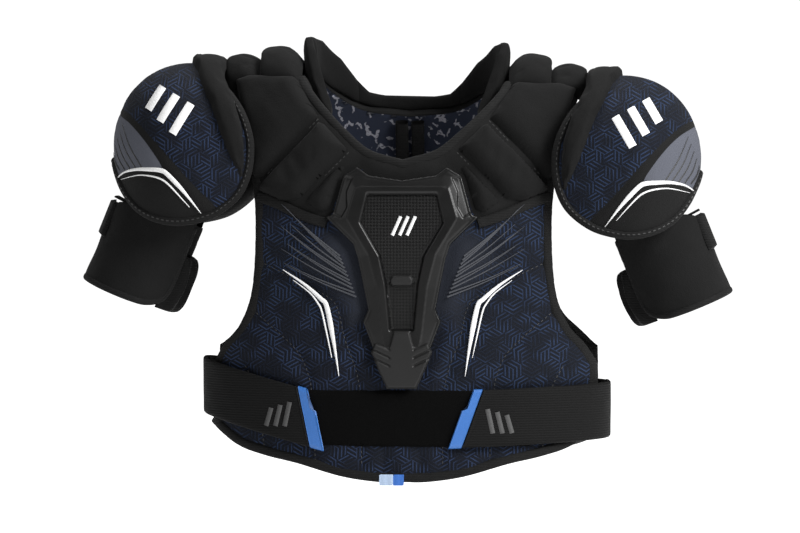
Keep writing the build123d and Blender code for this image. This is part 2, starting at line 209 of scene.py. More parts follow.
def depth_inside(points, loop):
    """How far inside a closed loop each point is, negative outside, and the closest place on the loop."""
    ring = np.vstack([loop, loop[:1]])
    gap, place = nearest(points, ring)
    a, b = ring[:-1], ring[1:]
    x, y = points[:, :1], points[:, 1:]
    rise = np.where(np.abs(b[:, 1] - a[:, 1]) < 1e-9, 1e-9, b[:, 1] - a[:, 1])
    crosses = ((a[:, 1] > y) != (b[:, 1] > y)) & (x < (b[:, 0] - a[:, 0]) * (y - a[:, 1]) / rise + a[:, 0])
    return np.where(crosses.sum(1) % 2 == 1, gap, -gap), place


def inside_of(loop, x, z):
    """How far inside a closed loop each place is."""
    return depth_inside(np.stack([x, z], axis=1), loop)[0]


def ramp(value, low, high):
    t = np.clip((value - low) / (high - low), 0, 1)
    return t * t * (3 - 2 * t)


def ripple(x, z, size, seed=0.0):
    """Smooth irregular waves, about -1 to 1."""
    u, v = x / size, z / size
    return (
        np.sin(1.7 * u + 0.6 * v + seed)
        + np.sin(-0.9 * u + 1.9 * v + 2.1 * seed + 1)
        + np.sin(2.3 * u + 2.7 * v + 3.3 * seed + 2) * 0.6
        + np.sin(4.1 * u - 3.2 * v + 0.7 * seed) * 0.4
    ) / 3


# ---- meshes
def new_piece(name, points, faces, material, side=1):
    """A mesh object from points in millimetres. Side -1 mirrors it to the left."""
    points = np.array(points, float).reshape(-1, 3) * [side, 1, 1]
    if side < 0:
        faces = [face[::-1] for face in faces]
    mesh = bpy.data.meshes.new(name)
    mesh.from_pydata((points * MM).tolist(), [], faces)
    mesh.shade_smooth()
    mesh.materials.append(material)
    piece = bpy.data.objects.new(name, mesh)
    bpy.context.scene.collection.objects.link(piece)
    return piece


def field(piece, name, values):
    """Stores one number, or one vector, per vertex for the material to read."""
    values = np.array(values, np.float32)
    kind = "FLOAT" if values.ndim == 1 else "FLOAT_VECTOR"
    attribute = piece.data.attributes.new(name, kind, "POINT")
    attribute.data.foreach_set("value" if values.ndim == 1 else "vector", values.ravel())


def place_on(piece, body, slot, *nodes):
    """The piece moves with a CAD body and stands for some CAD nodes, which are hidden. The slot argument is
    not used.
    """
    if body.startswith(("cap_", "arm_")):
        lift = ARM_LIFT[1 if body.endswith("right") else -1]
        piece.data.transform(Matrix.Translation((0, 0, lift * MM)))
    else:
        for vertex in piece.data.vertices:
            raised = (vertex.co.z / MM - TILT_LOW) / (TILT_HIGH - TILT_LOW)
            vertex.co.z -= SHOULDER_TILT * min(max(raised, 0.0), 1.0) * vertex.co.x / TILT_REACH
    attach(piece, body)
    if nodes:
        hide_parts(*nodes)
    return piece


SOFT = []  # stuffed pieces, each with how far in millimetres the cloth pass may move a point


def soften(piece, limit):
    SOFT.append((piece, limit))
    return piece


def seam_points(piece):
    """Vertices held still by stitching: the open border, or the foot of a closed piece."""
    faces_at = {}
    for face in piece.data.polygons:
        for key in face.edge_keys:
            faces_at[key] = faces_at.get(key, 0) + 1
    border = {vertex for key, count in faces_at.items() if count == 1 for vertex in key}
    if border:
        return sorted(border)
    heights = np.array([vertex.co.z for vertex in piece.data.vertices])
    foot = heights.min() + 0.3 * (heights.max() - heights.min())
    return [int(k) for k in np.nonzero(heights < foot)[0]]


STUFFING = {
    "quality": 4,
    "vertex_group_mass": "seam",
    "tension_stiffness": 12,
    "compression_stiffness": 12,
    "bending_stiffness": 3.0,
    "shrink_min": -0.012,
    "use_pressure": True,
    "uniform_pressure_force": 4.0,
}


def inflate_soft_pieces():
    """Cloth simulation: the stuffed pieces swell between their seams, then the shape is kept."""
    scene = bpy.context.scene
    starts = []
    for piece, _ in SOFT:
        seam = piece.vertex_groups.new(name="seam")
        seam.add(seam_points(piece), 1.0, "REPLACE")
        cloth = piece.modifiers.new("inflate", "CLOTH")
        for key, value in STUFFING.items():
            setattr(cloth.settings, key, value)
        cloth.settings.effector_weights.gravity = 0.0
        cloth.point_cache.frame_start = 1
        cloth.point_cache.frame_end = CLOTH_FRAMES
        starts.append(np.array([vertex.co for vertex in piece.data.vertices]))
    for frame_number in range(1, CLOTH_FRAMES + 1):
        scene.frame_set(frame_number)
    graph = bpy.context.evaluated_depsgraph_get()
    ends = [np.array([v.co for v in piece.evaluated_get(graph).data.vertices]) for piece, _ in SOFT]
    for (piece, limit), start, end in zip(SOFT, starts, ends):
        moved = end - start
        length = np.maximum(np.linalg.norm(moved, axis=1, keepdims=True), 1e-9)
        moved *= np.minimum(1.0, limit * MM / length)
        piece.modifiers.remove(piece.modifiers["inflate"])
        piece.vertex_groups.clear()
        piece.data.vertices.foreach_set("co", (start + moved).astype(np.float32).ravel())
        piece.data.update()
    scene.frame_set(1)


def grid_faces(rows, columns, keep=None, wrap=False):
    """Quads of a grid, leaving out any with a corner that isn't kept."""
    index = np.arange(rows * columns).reshape(rows, columns)
    right = np.roll(index, -1, axis=1) if wrap else index[:, 1:]
    left = index if wrap else index[:, :-1]
    quads = np.stack([left[:-1], right[:-1], right[1:], left[1:]], axis=-1).reshape(-1, 4)
    if keep is not None:
        quads = quads[keep.ravel()[quads].all(axis=1)]
    return quads.tolist()


def tube_faces(rows, columns, flip=False):
    """Quads of a tube with both its ends closed."""
    faces = grid_faces(rows, columns, wrap=True)
    if flip:
        faces = [face[::-1] for face in faces]
    last = (rows - 1) * columns
    return faces + [list(range(columns)), list(range(last, last + columns))[::-1]]


def sheet(name, surface, loop, step, height, material, side=1, flip=False):
    """A surface piece inside a front-view loop. Height gives each point's rise above the cover."""
    low, high = loop.min(0) - step, loop.max(0) + step
    xs = np.arange(low[0], high[0] + step, step)
    zs = np.arange(low[1], min(high[1], ARCH_START) + step / 2, step)
    if high[1] > ARCH_START and surface in (chest, back):
        lean = np.arange(0 if len(zs) else torso_lean(0, low[1]), math.pi / 2, step / 150)
        arch = ARCH_START + (SHOULDER_TOP - ARCH_START) * np.sin(lean)
        arch = arch[(arch > max(low[1], zs[-1] if len(zs) else 0)) & (arch < high[1] + step)]
        zs = np.concatenate([zs, arch])
    elif high[1] > ARCH_START:
        zs = np.arange(low[1], high[1] + step, step)
    x, z = np.meshgrid(xs, zs)
    flat = np.stack([x.ravel(), z.ravel()], axis=1)
    inside, place = depth_inside(flat, loop)
    close = np.abs(inside) < 0.7 * step
    flat = np.where(close[:, None], place, flat)
    inside = np.where(close, 0, inside)
    keep = (inside >= 0).reshape(x.shape)
    points = surface(flat[:, 0], flat[:, 1], height(flat[:, 0], flat[:, 1], np.maximum(inside, 0)))
    faces = grid_faces(*x.shape, keep)
    if flip != (surface in (back, cap_back)):
        faces = [face[::-1] for face in faces]
    used = np.unique(np.array(faces))
    renumber = np.zeros(len(points), int)
    renumber[used] = np.arange(len(used))
    faces = [[int(renumber[corner]) for corner in face] for face in faces]
    piece = new_piece(name, points[used], faces, material, side)
    field(piece, "flat", np.stack([flat[used, 0], flat[used, 1], 0 * used], axis=1))
    return piece, flat[used]


TAPE_WOBBLE = 0.25  # how unevenly thick the folded tape is


def tape(name, surface, path, half_width, low, high, material, side=1):
    """Folded tape that runs along a front-view path and wraps from one face to the other."""
    path = resample(path, 3.0)
    square, tall = section(20, 0.6)
    flat = path[:, None] + sideways(path)[:, None] * (square * half_width)[None, :, None]
    run = np.arange(len(path))[:, None]
    wobble = TAPE_WOBBLE * np.sin(run * 1.9) * np.sin(run * 0.7)
    grow = (low + high) / 2 + tall[None] * ((high - low) / 2 + wobble)
    points = surface(flat[..., 0], flat[..., 1], grow)
    return new_piece(name, points, grid_faces(len(path), len(tall), wrap=True), material, side)


def ribbon_mesh(surface, path, widths, grow, rise=0.3):
    """Points and faces of a thin raised strip whose width follows the path."""
    path = resample(path, 2.0)
    width = np.interp(np.linspace(0, 1, len(path)), np.linspace(0, 1, len(widths)), widths) / 2
    across = np.array([-1.0, -0.8, 0.8, 1.0])
    flat = path[:, None] + sideways(path)[:, None] * (across[None] * width[:, None])[..., None]
    lift = grow + rise * np.array([-1.2, 1, 1, -1.2])[None] + 0 * flat[..., 0]
    return surface(flat[..., 0], flat[..., 1], lift).reshape(-1, 3), grid_faces(len(path), 4)


def ribbons(name, surface, strips, material, side=1, grow=0.6, rise=0.3):
    """One piece made of many thin strips, each a path and its widths."""
    points, faces = [], []
    for path, widths in strips:
        more, quads = ribbon_mesh(surface, path, widths, grow, rise)
        base = sum(len(part) for part in points)
        faces += [[corner + base for corner in quad] for quad in quads]
        points.append(more)
    if surface in (back, cap_back):
        faces = [face[::-1] for face in faces]
    return new_piece(name, np.vstack(points), faces, material, side)


STITCH, STITCH_GAP, STITCH_WIDTH = 3.2, 1.8, 0.9


def dashes(path, step=0.5):
    """Stitches along a path, as strips."""
    fine = resample(path, step)
    pitch = int((STITCH + STITCH_GAP) / step)
    run = int(STITCH / step)
    return [(fine[k : k + run], [STITCH_WIDTH] * 2) for k in range(0, len(fine) - run, pitch)]


# ---- materials
class Shader:
    """A small helper that adds nodes to one material."""

    def __init__(self, name):
        self.material = bpy.data.materials.new(name)
        self.material.use_nodes = True
        self.tree = self.material.node_tree
        self.surface = self.tree.nodes["Principled BSDF"]
        self.bump_out = None

    def node(self, kind, **settings):
        made = self.tree.nodes.new(kind)
        for key, value in settings.items():
            setattr(made, key, value)
        return made

    def link(self, value, socket):
        if isinstance(value, bpy.types.NodeSocket):
            self.tree.links.new(value, socket)
        else:
            socket.default_value = value

    def outputs(self, kind, operation, values):
        made = self.node(kind, operation=operation)
        for k, value in enumerate(values):
            self.link(value, made.inputs[k])
        return made.outputs

    def math(self, operation, *values):
        return self.outputs("ShaderNodeMath", operation, values)[0]

    def vector(self, operation, *values):
        result = "Value" if operation in ("DOT_PRODUCT", "LENGTH") else "Vector"
        return self.outputs("ShaderNodeVectorMath", operation, values)[result]

    def mix(self, share, first, second):
        made = self.node("ShaderNodeMix", data_type="RGBA")
        self.link(share, made.inputs["Factor"])
        self.link(first, made.inputs["A"])
        self.link(second, made.inputs["B"])
        return made.outputs["Result"]

    def read(self, name, vector=False):
        made = self.node("ShaderNodeAttribute", attribute_name=name)
        return made.outputs["Vector" if vector else "Fac"]

    def place(self):
        """Position on the object in millimetres."""
        coordinates = self.node("ShaderNodeTexCoord").outputs["Object"]
        return self.vector("MULTIPLY", coordinates, (1000, 1000, 1000))

    def noise(self, size, detail=2.0, at=None, result="Fac"):
        made = self.node("ShaderNodeTexNoise")
        self.link(at if at is not None else self.place(), made.inputs["Vector"])
        made.inputs["Scale"].default_value = 1 / size
        made.inputs["Detail"].default_value = detail
        return made.outputs[result]

    def step(self, value, edge=0.0, soft=0.3):
        """0 below the edge and 1 above it, with a thin soft border."""
        made = self.node("ShaderNodeMapRange", interpolation_type="SMOOTHSTEP")
        self.link(value, made.inputs["Value"])
        made.inputs["From Min"].default_value = edge - soft
        made.inputs["From Max"].default_value = edge + soft
        return made.outputs["Result"]

    def bump(self, height, distance, strength=1.0):
        made = self.node("ShaderNodeBump")
        self.link(height, made.inputs["Height"])
        made.inputs["Distance"].default_value = distance * MM
        made.inputs["Strength"].default_value = strength
        if self.bump_out is not None:
            self.link(self.bump_out, made.inputs["Normal"])
        self.bump_out = made.outputs["Normal"]
        self.link(self.bump_out, self.surface.inputs["Normal"])

    def finish(self, colour, roughness, sheen=0.0, coat=0.0, specular=0.5):
        self.link(colour, self.surface.inputs["Base Color"])
        self.link(roughness, self.surface.inputs["Roughness"])
        self.surface.inputs["Sheen Weight"].default_value = sheen
        self.surface.inputs["Sheen Roughness"].default_value = 0.4
        self.surface.inputs["Coat Weight"].default_value = coat
        self.surface.inputs["Specular IOR Level"].default_value = specular
        return self.material


def grey(value, blue=0.0):
    return (value, value, value * (1 + blue), 1.0)


def knit(name, tone, size=1.3, sheen=0.02, roughness=0.88):
    """Matt knitted cloth with a fine weave, soft wrinkles and faint lint."""
    s = Shader(name)
    weave = s.noise(size, 3.0)
    drift = s.noise(22.0, 3.0)
    lint = s.step(s.noise(0.9, 4.0), 0.72, 0.04)
    colour = s.mix(drift, grey(tone * 0.75), grey(tone * 1.25))
    colour = s.mix(s.math("MULTIPLY", weave, 0.5), colour, grey(tone * 1.7))
    colour = s.mix(s.math("MULTIPLY", lint, 0.25), colour, grey(tone * 5))
    s.bump(drift, 2.0, 0.5)
    s.bump(weave, 0.5, 0.7)
    return s.finish(colour, roughness, sheen=sheen, specular=0.1)


def ribbed(name, tone, pitch):
    """Elastic webbing with fine ribs across its height."""
    s = Shader(name)
    wave = s.node("ShaderNodeTexWave", wave_type="BANDS", bands_direction="Z")
    s.link(s.place(), wave.inputs["Vector"])
    wave.inputs["Scale"].default_value = 0.31 / pitch
    wave.inputs["Distortion"].default_value = 0.6
    wave.inputs["Detail Scale"].default_value = 0.5
    weave = s.noise(0.9, 2.0)
    colour = s.mix(wave.outputs["Fac"], grey(tone * 0.7), grey(tone * 1.3))
    s.bump(wave.outputs["Fac"], 0.5, 0.5)
    s.bump(weave, 0.4, 0.6)
    return s.finish(colour, 0.75, sheen=0.02, specular=0.12)


def plastic(name, tone, roughness, coat=0.0):
    """Moulded plastic with a spark-eroded grain and light handling marks."""
    s = Shader(name)
    grain = s.noise(0.7, 3.0)
    wear = s.noise(30.0, 4.0)
    rough = s.math("ADD", s.math("MULTIPLY", wear, 0.2), roughness - 0.1)
    s.bump(grain, 0.15, 0.25)
    return s.finish(s.mix(wear, grey(tone * 0.9), grey(tone * 1.15)), rough, coat=coat, specular=0.26)


TWILL = 2.2  # width of one bar of the twill


def carbon(name, tone):
    """Glossy twill: two sets of short diagonal bars."""
    s = Shader(name)
    at = s.read("flat", vector=True)
    turned = s.node("ShaderNodeVectorRotate", rotation_type="Z_AXIS")
    s.link(at, turned.inputs["Vector"])
    turned.inputs["Angle"].default_value = math.radians(45)
    check = s.node("ShaderNodeTexChecker")
    s.link(turned.outputs["Vector"], check.inputs["Vector"])
    check.inputs["Scale"].default_value = 1 / TWILL
    bars = s.node("ShaderNodeTexWave", wave_type="BANDS", bands_direction="X")
    s.link(turned.outputs["Vector"], bars.inputs["Vector"])
    bars.inputs["Scale"].default_value = 0.31 / TWILL * 2
    height = s.math("MULTIPLY", check.outputs["Fac"], bars.outputs["Fac"])
    s.bump(height, 0.35, 0.7)
    colour = s.mix(check.outputs["Fac"], grey(tone * 0.4), grey(tone * 2.6))
    return s.finish(colour, 0.42, coat=0.1, specular=0.2)


def maze(s):
    """1 on the lines of an angular print made of Y shapes, each in its own six-sided cell."""
    cell, pitch = 18.0, 3.6
    size = (cell, cell * math.sqrt(3), 1.0)
    half = (size[0] / 2, size[1] / 2, 0.5)
    at = s.vector("ADD", s.read("flat", vector=True), (50 * size[0], 50 * size[1], 0))

    def local(shift):
        moved = s.vector("SUBTRACT", at, shift) if shift else at
        return s.vector("SUBTRACT", s.vector("MODULO", moved, size), half)

    first, second = local(None), local((half[0], half[1], 0))
    lengths = [s.vector("DOT_PRODUCT", arrow, arrow) for arrow in (first, second)]
    closer = s.math("LESS_THAN", *lengths)
    pick = s.node("ShaderNodeMix", data_type="VECTOR")
    s.link(closer, pick.inputs["Factor"])
    s.link(second, pick.inputs["A"])
    s.link(first, pick.inputs["B"])
    offset = pick.outputs["Result"]
    shifted = s.vector("ADD", s.vector("SUBTRACT", at, offset), (2, 2, 0))
    centre = s.vector("SNAP", shifted, (cell / 4, 5.2, 1))
    random = s.node("ShaderNodeTexWhiteNoise", noise_dimensions="2D")
    s.link(centre, random.inputs["Vector"])
    parts = s.node("ShaderNodeSeparateXYZ")
    s.link(offset, parts.inputs[0])
    angle = s.math("ARCTAN2", parts.outputs["Y"], parts.outputs["X"])
    third = s.math("MODULO", s.math("ADD", angle, 20 * math.pi / 3 + math.pi / 6), 2 * math.pi / 3)
    flipped = s.math("GREATER_THAN", random.outputs["Value"], 0.5)
    mirror = s.math("SUBTRACT", 2 * math.pi / 3, third)
    turned = s.math("ADD", s.math("MULTIPLY", flipped, mirror),
                    s.math("MULTIPLY", s.math("SUBTRACT", 1.0, flipped), third))
    radius = s.vector("LENGTH", s.vector("MULTIPLY", offset, (1, 1, 0)))
    across = s.math("MULTIPLY", radius, s.math("SINE", turned))
    phase = s.math("FRACT", s.math("ADD", s.math("DIVIDE", across, pitch), 0.5))
    return s.step(s.math("ABSOLUTE", s.math("SUBTRACT", phase, 0.5)), 0.33, 0.06)


BLACK_CLOTH = 0.0052
MAZE_BLUE = (0.013, 0.023, 0.052, 1.0)
MAZE_DARK = (0.0032, 0.0042, 0.0075, 1.0)


def printed_cloth(name, zones):
    """Woven cover with the maze print where the first zone field is positive, and plain zones on top."""
    s = Shader(name)
    lines = maze(s)
    patches = s.step(s.noise(20.0, 1.0, s.read("flat", vector=True)), 0.5, 0.1)
    strength = s.math("ADD", s.math("MULTIPLY", patches, 0.85), 0.15)
    colour = s.mix(s.math("MULTIPLY", lines, strength), MAZE_DARK, MAZE_BLUE)
    height = lines
    for field_name, tone in zones:
        share = s.step(s.read(field_name))
        colour = s.mix(share, colour, tone)
        height = s.math("MULTIPLY", height, s.math("SUBTRACT", 1.0, share))
    weave = s.noise(1.1, 3.0)
    drift = s.noise(18.0, 3.0)
    s.bump(drift, 1.6, 0.5)
    s.bump(height, 0.25, 0.6)
    s.bump(weave, 0.45, 0.7)
    return s.finish(colour, 0.78, sheen=0.015, specular=0.12)


def lining_cloth(name):
    """Navy brushed lining with loose pale brush marks."""
    s = Shader(name)
    at = s.read("flat", vector=True)
    push = s.vector("ADD", s.noise(14.0, 2.0, at, "Color"), (-0.5, -0.5, 0))
    warp = s.vector("ADD", at, s.vector("MULTIPLY", push, (26, 26, 0)))
    cells = s.node("ShaderNodeTexVoronoi", feature="DISTANCE_TO_EDGE", voronoi_dimensions="2D")
    s.link(warp, cells.inputs["Vector"])
    cells.inputs["Scale"].default_value = 1 / 19
    stroke = s.math("SUBTRACT", 1.0, s.step(cells.outputs["Distance"], 0.085, 0.02))
    broken = s.step(s.noise(9.0, 1.0, at), 0.52, 0.03)
    dry = s.step(s.noise(1.6, 2.0, at), 0.38, 0.1)
    mark = s.math("MULTIPLY", s.math("MULTIPLY", stroke, broken), dry)
    colour = s.mix(mark, (0.012, 0.016, 0.03, 1.0), (0.22, 0.22, 0.25, 1.0))
    s.bump(s.noise(1.0, 2.0), 0.4, 0.6)
    return s.finish(colour, 0.9, sheen=0.2, specular=0.2)


def plain(name, colour, roughness):
    """Film, tape or thread of one colour with a fine grain."""
    s = Shader(name)
    grain = s.noise(1.0)
    shade = s.mix(s.math("MULTIPLY", grain, 0.35), colour, (0.0, 0.0, 0.0, 1.0))
    s.bump(grain, 0.2, 0.6)
    return s.finish(shade, roughness)


CLOTH = knit("black_knit", BLACK_CLOTH)
CLOTH_LOW = knit("brushed_knit", BLACK_CLOTH * 0.8, size=1.0, roughness=0.92)
TAPE = ribbed("binding_tape", BLACK_CLOTH * 1.15, pitch=1.6)
ELASTIC = ribbed("elastic", BLACK_CLOTH * 0.62, pitch=2.4)
LOOP = knit("loop_pile", BLACK_CLOTH * 0.1, size=2.0, sheen=0.0, roughness=1.0)
THREAD = plain("thread", grey(0.013), 0.6)
WHITE_FILM = plain("white_film", grey(0.78), 0.45)
GREY_FILM = plain("grey_film", (0.032, 0.035, 0.044, 1.0), 0.6)
MARK_FILM = plain("mark_film", grey(0.045), 0.6)
DARK_FILM = plain("dark_film", grey(0.012), 0.5)
SHELL = plastic("shell_plastic", 0.008, 0.5)
FRAME_PLASTIC = plastic("frame_plastic", 0.0042, 0.34, coat=0.02)
CARBON = carbon("carbon_look", 0.0022)
BLUE_FILM = plain("blue_film", (0.024, 0.13, 0.42, 1.0), 0.45)
LABEL_WHITE = plain("label_white", (0.36, 0.46, 0.62, 1.0), 0.6)
LABEL_BLUE = plain("label_blue", (0.02, 0.12, 0.45, 1.0), 0.6)
LINING = lining_cloth("lining")


# ---- the chest
NECK = smooth((0, 321), (34, 331), (58, 350), (81, 373), (98, 393), (104, 404))
ARMHOLE = smooth(
    (178, 404), (160, 340), (149, 290), (147, 240), (151, 190), (163, 158), (180, 138), (192.5, 118)
)
HEM = smooth((192.5, 56), (165, 37), (137, 28), (104, 21), (60, 9), (24, 4), (0, 4))
FRONT_HALF = np.vstack([NECK, [(104, 422), (178, 404)], ARMHOLE, HEM])
FRONT_LOOP = mirrored(FRONT_HALF)

PLATE_HALF = [
    (0, 299), (32, 304), (43, 312), (58, 303), (68, 266), (75, 264), (47, 237), (43, 224), (33, 174)
]
PLATE_HALF += [(38, 162), (26, 129), (19, 117), (14, 96), (0, 96)]
PLATE_LOOP = mirrored(PLATE_HALF)

LOWER_SEAMS = [
    smooth((147, 222), (115, 207), (76, 187), (64, 174), (57, 145), (42, 97), (40, 20)),
    smooth((150, 172), (119, 146), (104, 131), (95, 114), (90, 90), (86, 20)),
    smooth((158, 116), (146, 90), (138, 34)),
    smooth((18, 96), (18, 12)),
]
YOKE_SEAM = smooth((40, 312), (62, 290), (75, 261), (103, 272), (141, 287), (160, 294))
TAPE_PATH = smooth((74, 258), (88, 262), (104, 268), (124, 277), (143, 284))
PADS = {
    "outer": [(84, 361), (137, 303), (147, 300), (150, 330), (160, 366), (168, 392), (150, 397), (106, 397)],
    "middle": [(53, 330), (100, 281), (118, 279), (143, 289), (133, 301), (80, 357)],
    "wedge": [(50, 327), (97, 279), (80, 268), (72, 272), (63, 302)],
}


def seam_gap(x, z, seams):
    """How far each place is from the nearest stitched seam."""
    points = np.stack([np.abs(x), z], axis=1)
    return np.min([nearest(points, line)[0] for line in seams], axis=0)


def front_height(x, z, inside):
    """Quilted swelling between the stitched seams."""
    swell = 1 - np.exp(-seam_gap(x, z, LOWER_SEAMS + [YOKE_SEAM]) / 7.0)
    edge = 1 - np.exp(-inside / 9.0)
    flat = ramp(-inside_of(PLATE_LOOP, np.abs(x), z), 0, 16)
    band = ramp(np.abs(z - 66), 26, 44)
    return -1.4 + (3.6 * swell * edge * flat + 0.7 * ripple(x, z, 17.0, 1.0) * swell) * (0.35 + 0.65 * band)


def inner_height(x, z, inside):
    return -13.0 + 0.6 * ripple(x, z, 22.0, 4.0)


def stitch_lines(surface, name, lines, body, side, grow, rise=0.35):
    """Thread along seam lines."""
    strips = [dash for line in lines for dash in dashes(line)]
    place_on(ribbons(name, surface, strips, THREAD, side, grow, rise), body, "binding_tape")


FADE_SOFTNESS = 0.02  # the print thins out over about 30 mm
BINDING_INSET, BINDING_HALF, BINDING_TOP = 4.6, 5.2, 1.6
BINDING_FOOT, NAPE_FOOT = -15.0, -12.2  # how deep the folded tape reaches, and less so behind the neck


def bind_shell(shell, surface, node, neck, hem):
    """Folded tape along the neckline and the hem of the chest or the back."""
    body = "chest" if shell == "chest" else "back_harness"
    neck_foot = BINDING_FOOT if shell == "chest" else NAPE_FOOT
    edges = (
        ("neck", neck[::-1], -BINDING_INSET, neck_foot, [node]),
        ("hem", hem, BINDING_INSET, BINDING_FOOT, []),
    )
    for name, half, shift, foot, nodes in edges:
        path = across_middle(half, shift)
        piece = tape(f"{shell}_{name}_binding", surface, path, BINDING_HALF, foot, BINDING_TOP, TAPE)
        place_on(piece, body, "binding_tape", *nodes)


def bind_armhole(name, body, surface, armhole, side_line, corner, side):
    """Folded tape down one armhole and on along the open side to the hem."""
    path = np.vstack([armhole, [side_line], [corner]])
    inner = path - sideways(path) * BINDING_INSET
    piece = tape(name, surface, inner, BINDING_HALF, BINDING_FOOT, BINDING_TOP, TAPE, side)
    place_on(piece, body, "binding_tape")


def build_chest():
    zones = [("yoke", grey(BLACK_CLOTH)), ("fade", (0.012, 0.014, 0.02, 1.0))]
    cover_cloth = printed_cloth("chest_print", zones)
    cover, flat = sheet("chest_cover", chest, FRONT_LOOP, 2.5, front_height, cover_cloth)
    yoke = mirrored(np.vstack([[(0, 340)], [(112, 420), (190, 420)], YOKE_SEAM[::-1], [(0, 200)]]))
    field(cover, "yoke", depth_inside(flat, yoke)[0])
    fade_zone = mirrored([(0, 272), (73, 262), (108, 215), (76, 190), (58, 150), (0, 150)])
    field(cover, "fade", FADE_SOFTNESS * (depth_inside(flat, fade_zone)[0] - 12))
    place_on(cover, "chest", "blue_print_knit", "front_cover", "front_foam")

    lining, _ = sheet("chest_lining", chest, FRONT_LOOP, 5.0, inner_height, LINING, flip=True)
    place_on(lining, "chest", "lining_mesh", "front_lining")

    bind_shell("chest", chest, "front_binding", NECK, HEM)
    for side_name, side in SIDES:
        bind_armhole(
            f"chest_armhole_binding_{side_name}", "chest", chest, ARMHOLE, (192.8, 90), (192.5, 56), side
        )
        stitch_lines(chest, f"chest_seam_thread_{side_name}", LOWER_SEAMS[:3], "chest", side, -0.9)
        build_clavicle(side_name, side)
        build_front_prints(side_name, side)


def build_clavicle(side_name, side):
    """Quilted pads between the neck and the armhole, and the taped seam under them."""
    nodes = [f"clavicle_pads_{side_name}"]
    for name, corners in PADS.items():
        loop = fine_loop(corners, 3.0)
        top = 12.5 if name != "wedge" else 8.0

        def height(x, z, inside, top=top, seed=len(name)):
            dome = np.sqrt(1 - (1 - np.minimum(inside / 13.0, 1)) ** 2)
            return -0.5 + top * dome + 0.8 * ripple(x, z, 12.0, seed) * dome

        pad, _ = sheet(f"clavicle_{name}_{side_name}", chest, loop, 2.5, height, CLOTH, side)
        soften(place_on(pad, "chest", "black_knit", *nodes), 4.0)
        nodes = []
    strip = tape(f"seam_tape_{side_name}", chest, TAPE_PATH, 5.0, -1.0, 2.6, TAPE, side)
    place_on(strip, "chest", "binding_tape", *(["seam_tapes"] if side > 0 else []))
    lines = [np.array([(84, 359), (136, 303)]), np.array([(53, 327), (99, 281)])]
    stitch_lines(chest, f"clavicle_thread_{side_name}", lines, "chest", side, 1.2, 0.5)


def bowed(start, end, push):
    """A curve between two places whose middle is pushed aside."""
    return smooth(start, (start + end) / 2 + push, end)


def build_front_prints(side_name, side):
    """White double chevron and grey slanted strokes beside the sternum guard."""
    thick = smooth((116, 212), (95, 198), (79, 184), (73, 176), (66, 140), (61, 108))
    thin = smooth((106, 202), (90, 190), (82, 180), (78, 172), (73, 150), (68, 126))
    white = [(thick, [0.5, 2.6, 4.4, 5.0, 2.6, 0.4]), (thin, [0.4, 1.2, 1.6, 1.6, 1.2, 0.4])]
    piece = ribbons(f"chest_chevron_{side_name}", chest, white, WHITE_FILM, side, grow=3.3, rise=0.3)
    place_on(piece, "chest", "blue_print_knit")
    strokes = []
    for k in range(11):
        low = np.array([60 - 1.6 * k, 226 - 4.0 * k])
        high = np.array([118 - 3.0 * (k % 4), 276 - 6.4 * k + 4 * (k % 3)])
        strokes.append((bowed(low, high, [1, -1]), [1.8, 1.2, 0.3]))
    piece = ribbons(f"chest_strokes_{side_name}", chest, strokes, GREY_FILM, side, grow=3.2, rise=0.15)
    place_on(piece, "chest", "blue_print_knit")


build_chest()


# ---- the sternum guard
WINDOW_LOOP = mirrored([(0, 284), (32, 284), (38, 258), (20, 227), (14, 198), (10, 154), (0, 154)])
CHANNEL_LOOP = mirrored([(0, 201), (12, 201), (12.5, 190), (9, 154), (0, 154)])
RIDGE_LOOP = mirrored(
    [(0, 291), (38, 291), (44, 290), (52, 262), (32, 228), (24, 196), (19, 150), (12, 112), (0, 112)]
)
WING_LOOP = np.array([(47, 301), (58, 303), (67, 268), (58, 262), (52, 272), (53, 287)], float)


def plate_height(x, z, inside):
    """Moulded frame: steep outer edge, a raised ridge, and a step down into the window."""
    window = inside_of(WINDOW_LOOP, x, z)
    ridge = inside_of(RIDGE_LOOP, x, z)
    wing = inside_of(WING_LOOP, np.abs(x), z)
    rise = 1.0 + 5.0 * ramp(inside, 0, 1.4) + 2.4 * np.clip((ridge + 12) / 12, 0, 1)
    rise += 0.9 * ramp(ridge, -0.4, 0.4) - 1.6 * np.clip(ridge / 14, 0, 1)
    rise -= 1.8 * ramp(wing, -0.2, 0.7)
    groove = np.exp(-((inside - 3.4) ** 2) / 0.5) * 0.5
    return rise - groove - 5.2 * ramp(window, -2.4, 0.2)


def insert_height(x, z, inside):
    channel = inside_of(CHANNEL_LOOP, x, z)
    return 4.6 + 0.8 * ramp(inside, 0, 1.5) - 1.6 * ramp(channel, -1, 1)


def tail_height(x, z, inside):
    """Soft tail with three slots on each side."""
    slots = np.zeros(len(x))
    for level in (119, 127, 135):
        slot = np.abs(z - level - 0.5 * (np.abs(x) - 12))
        slots += ramp(-slot, -1.6, -0.6) * ramp(np.abs(x), 10, 11.5)
    return 3.0 + 3.4 * ramp(inside, 0, 2.2) - 1.8 * np.minimum(slots, 1)


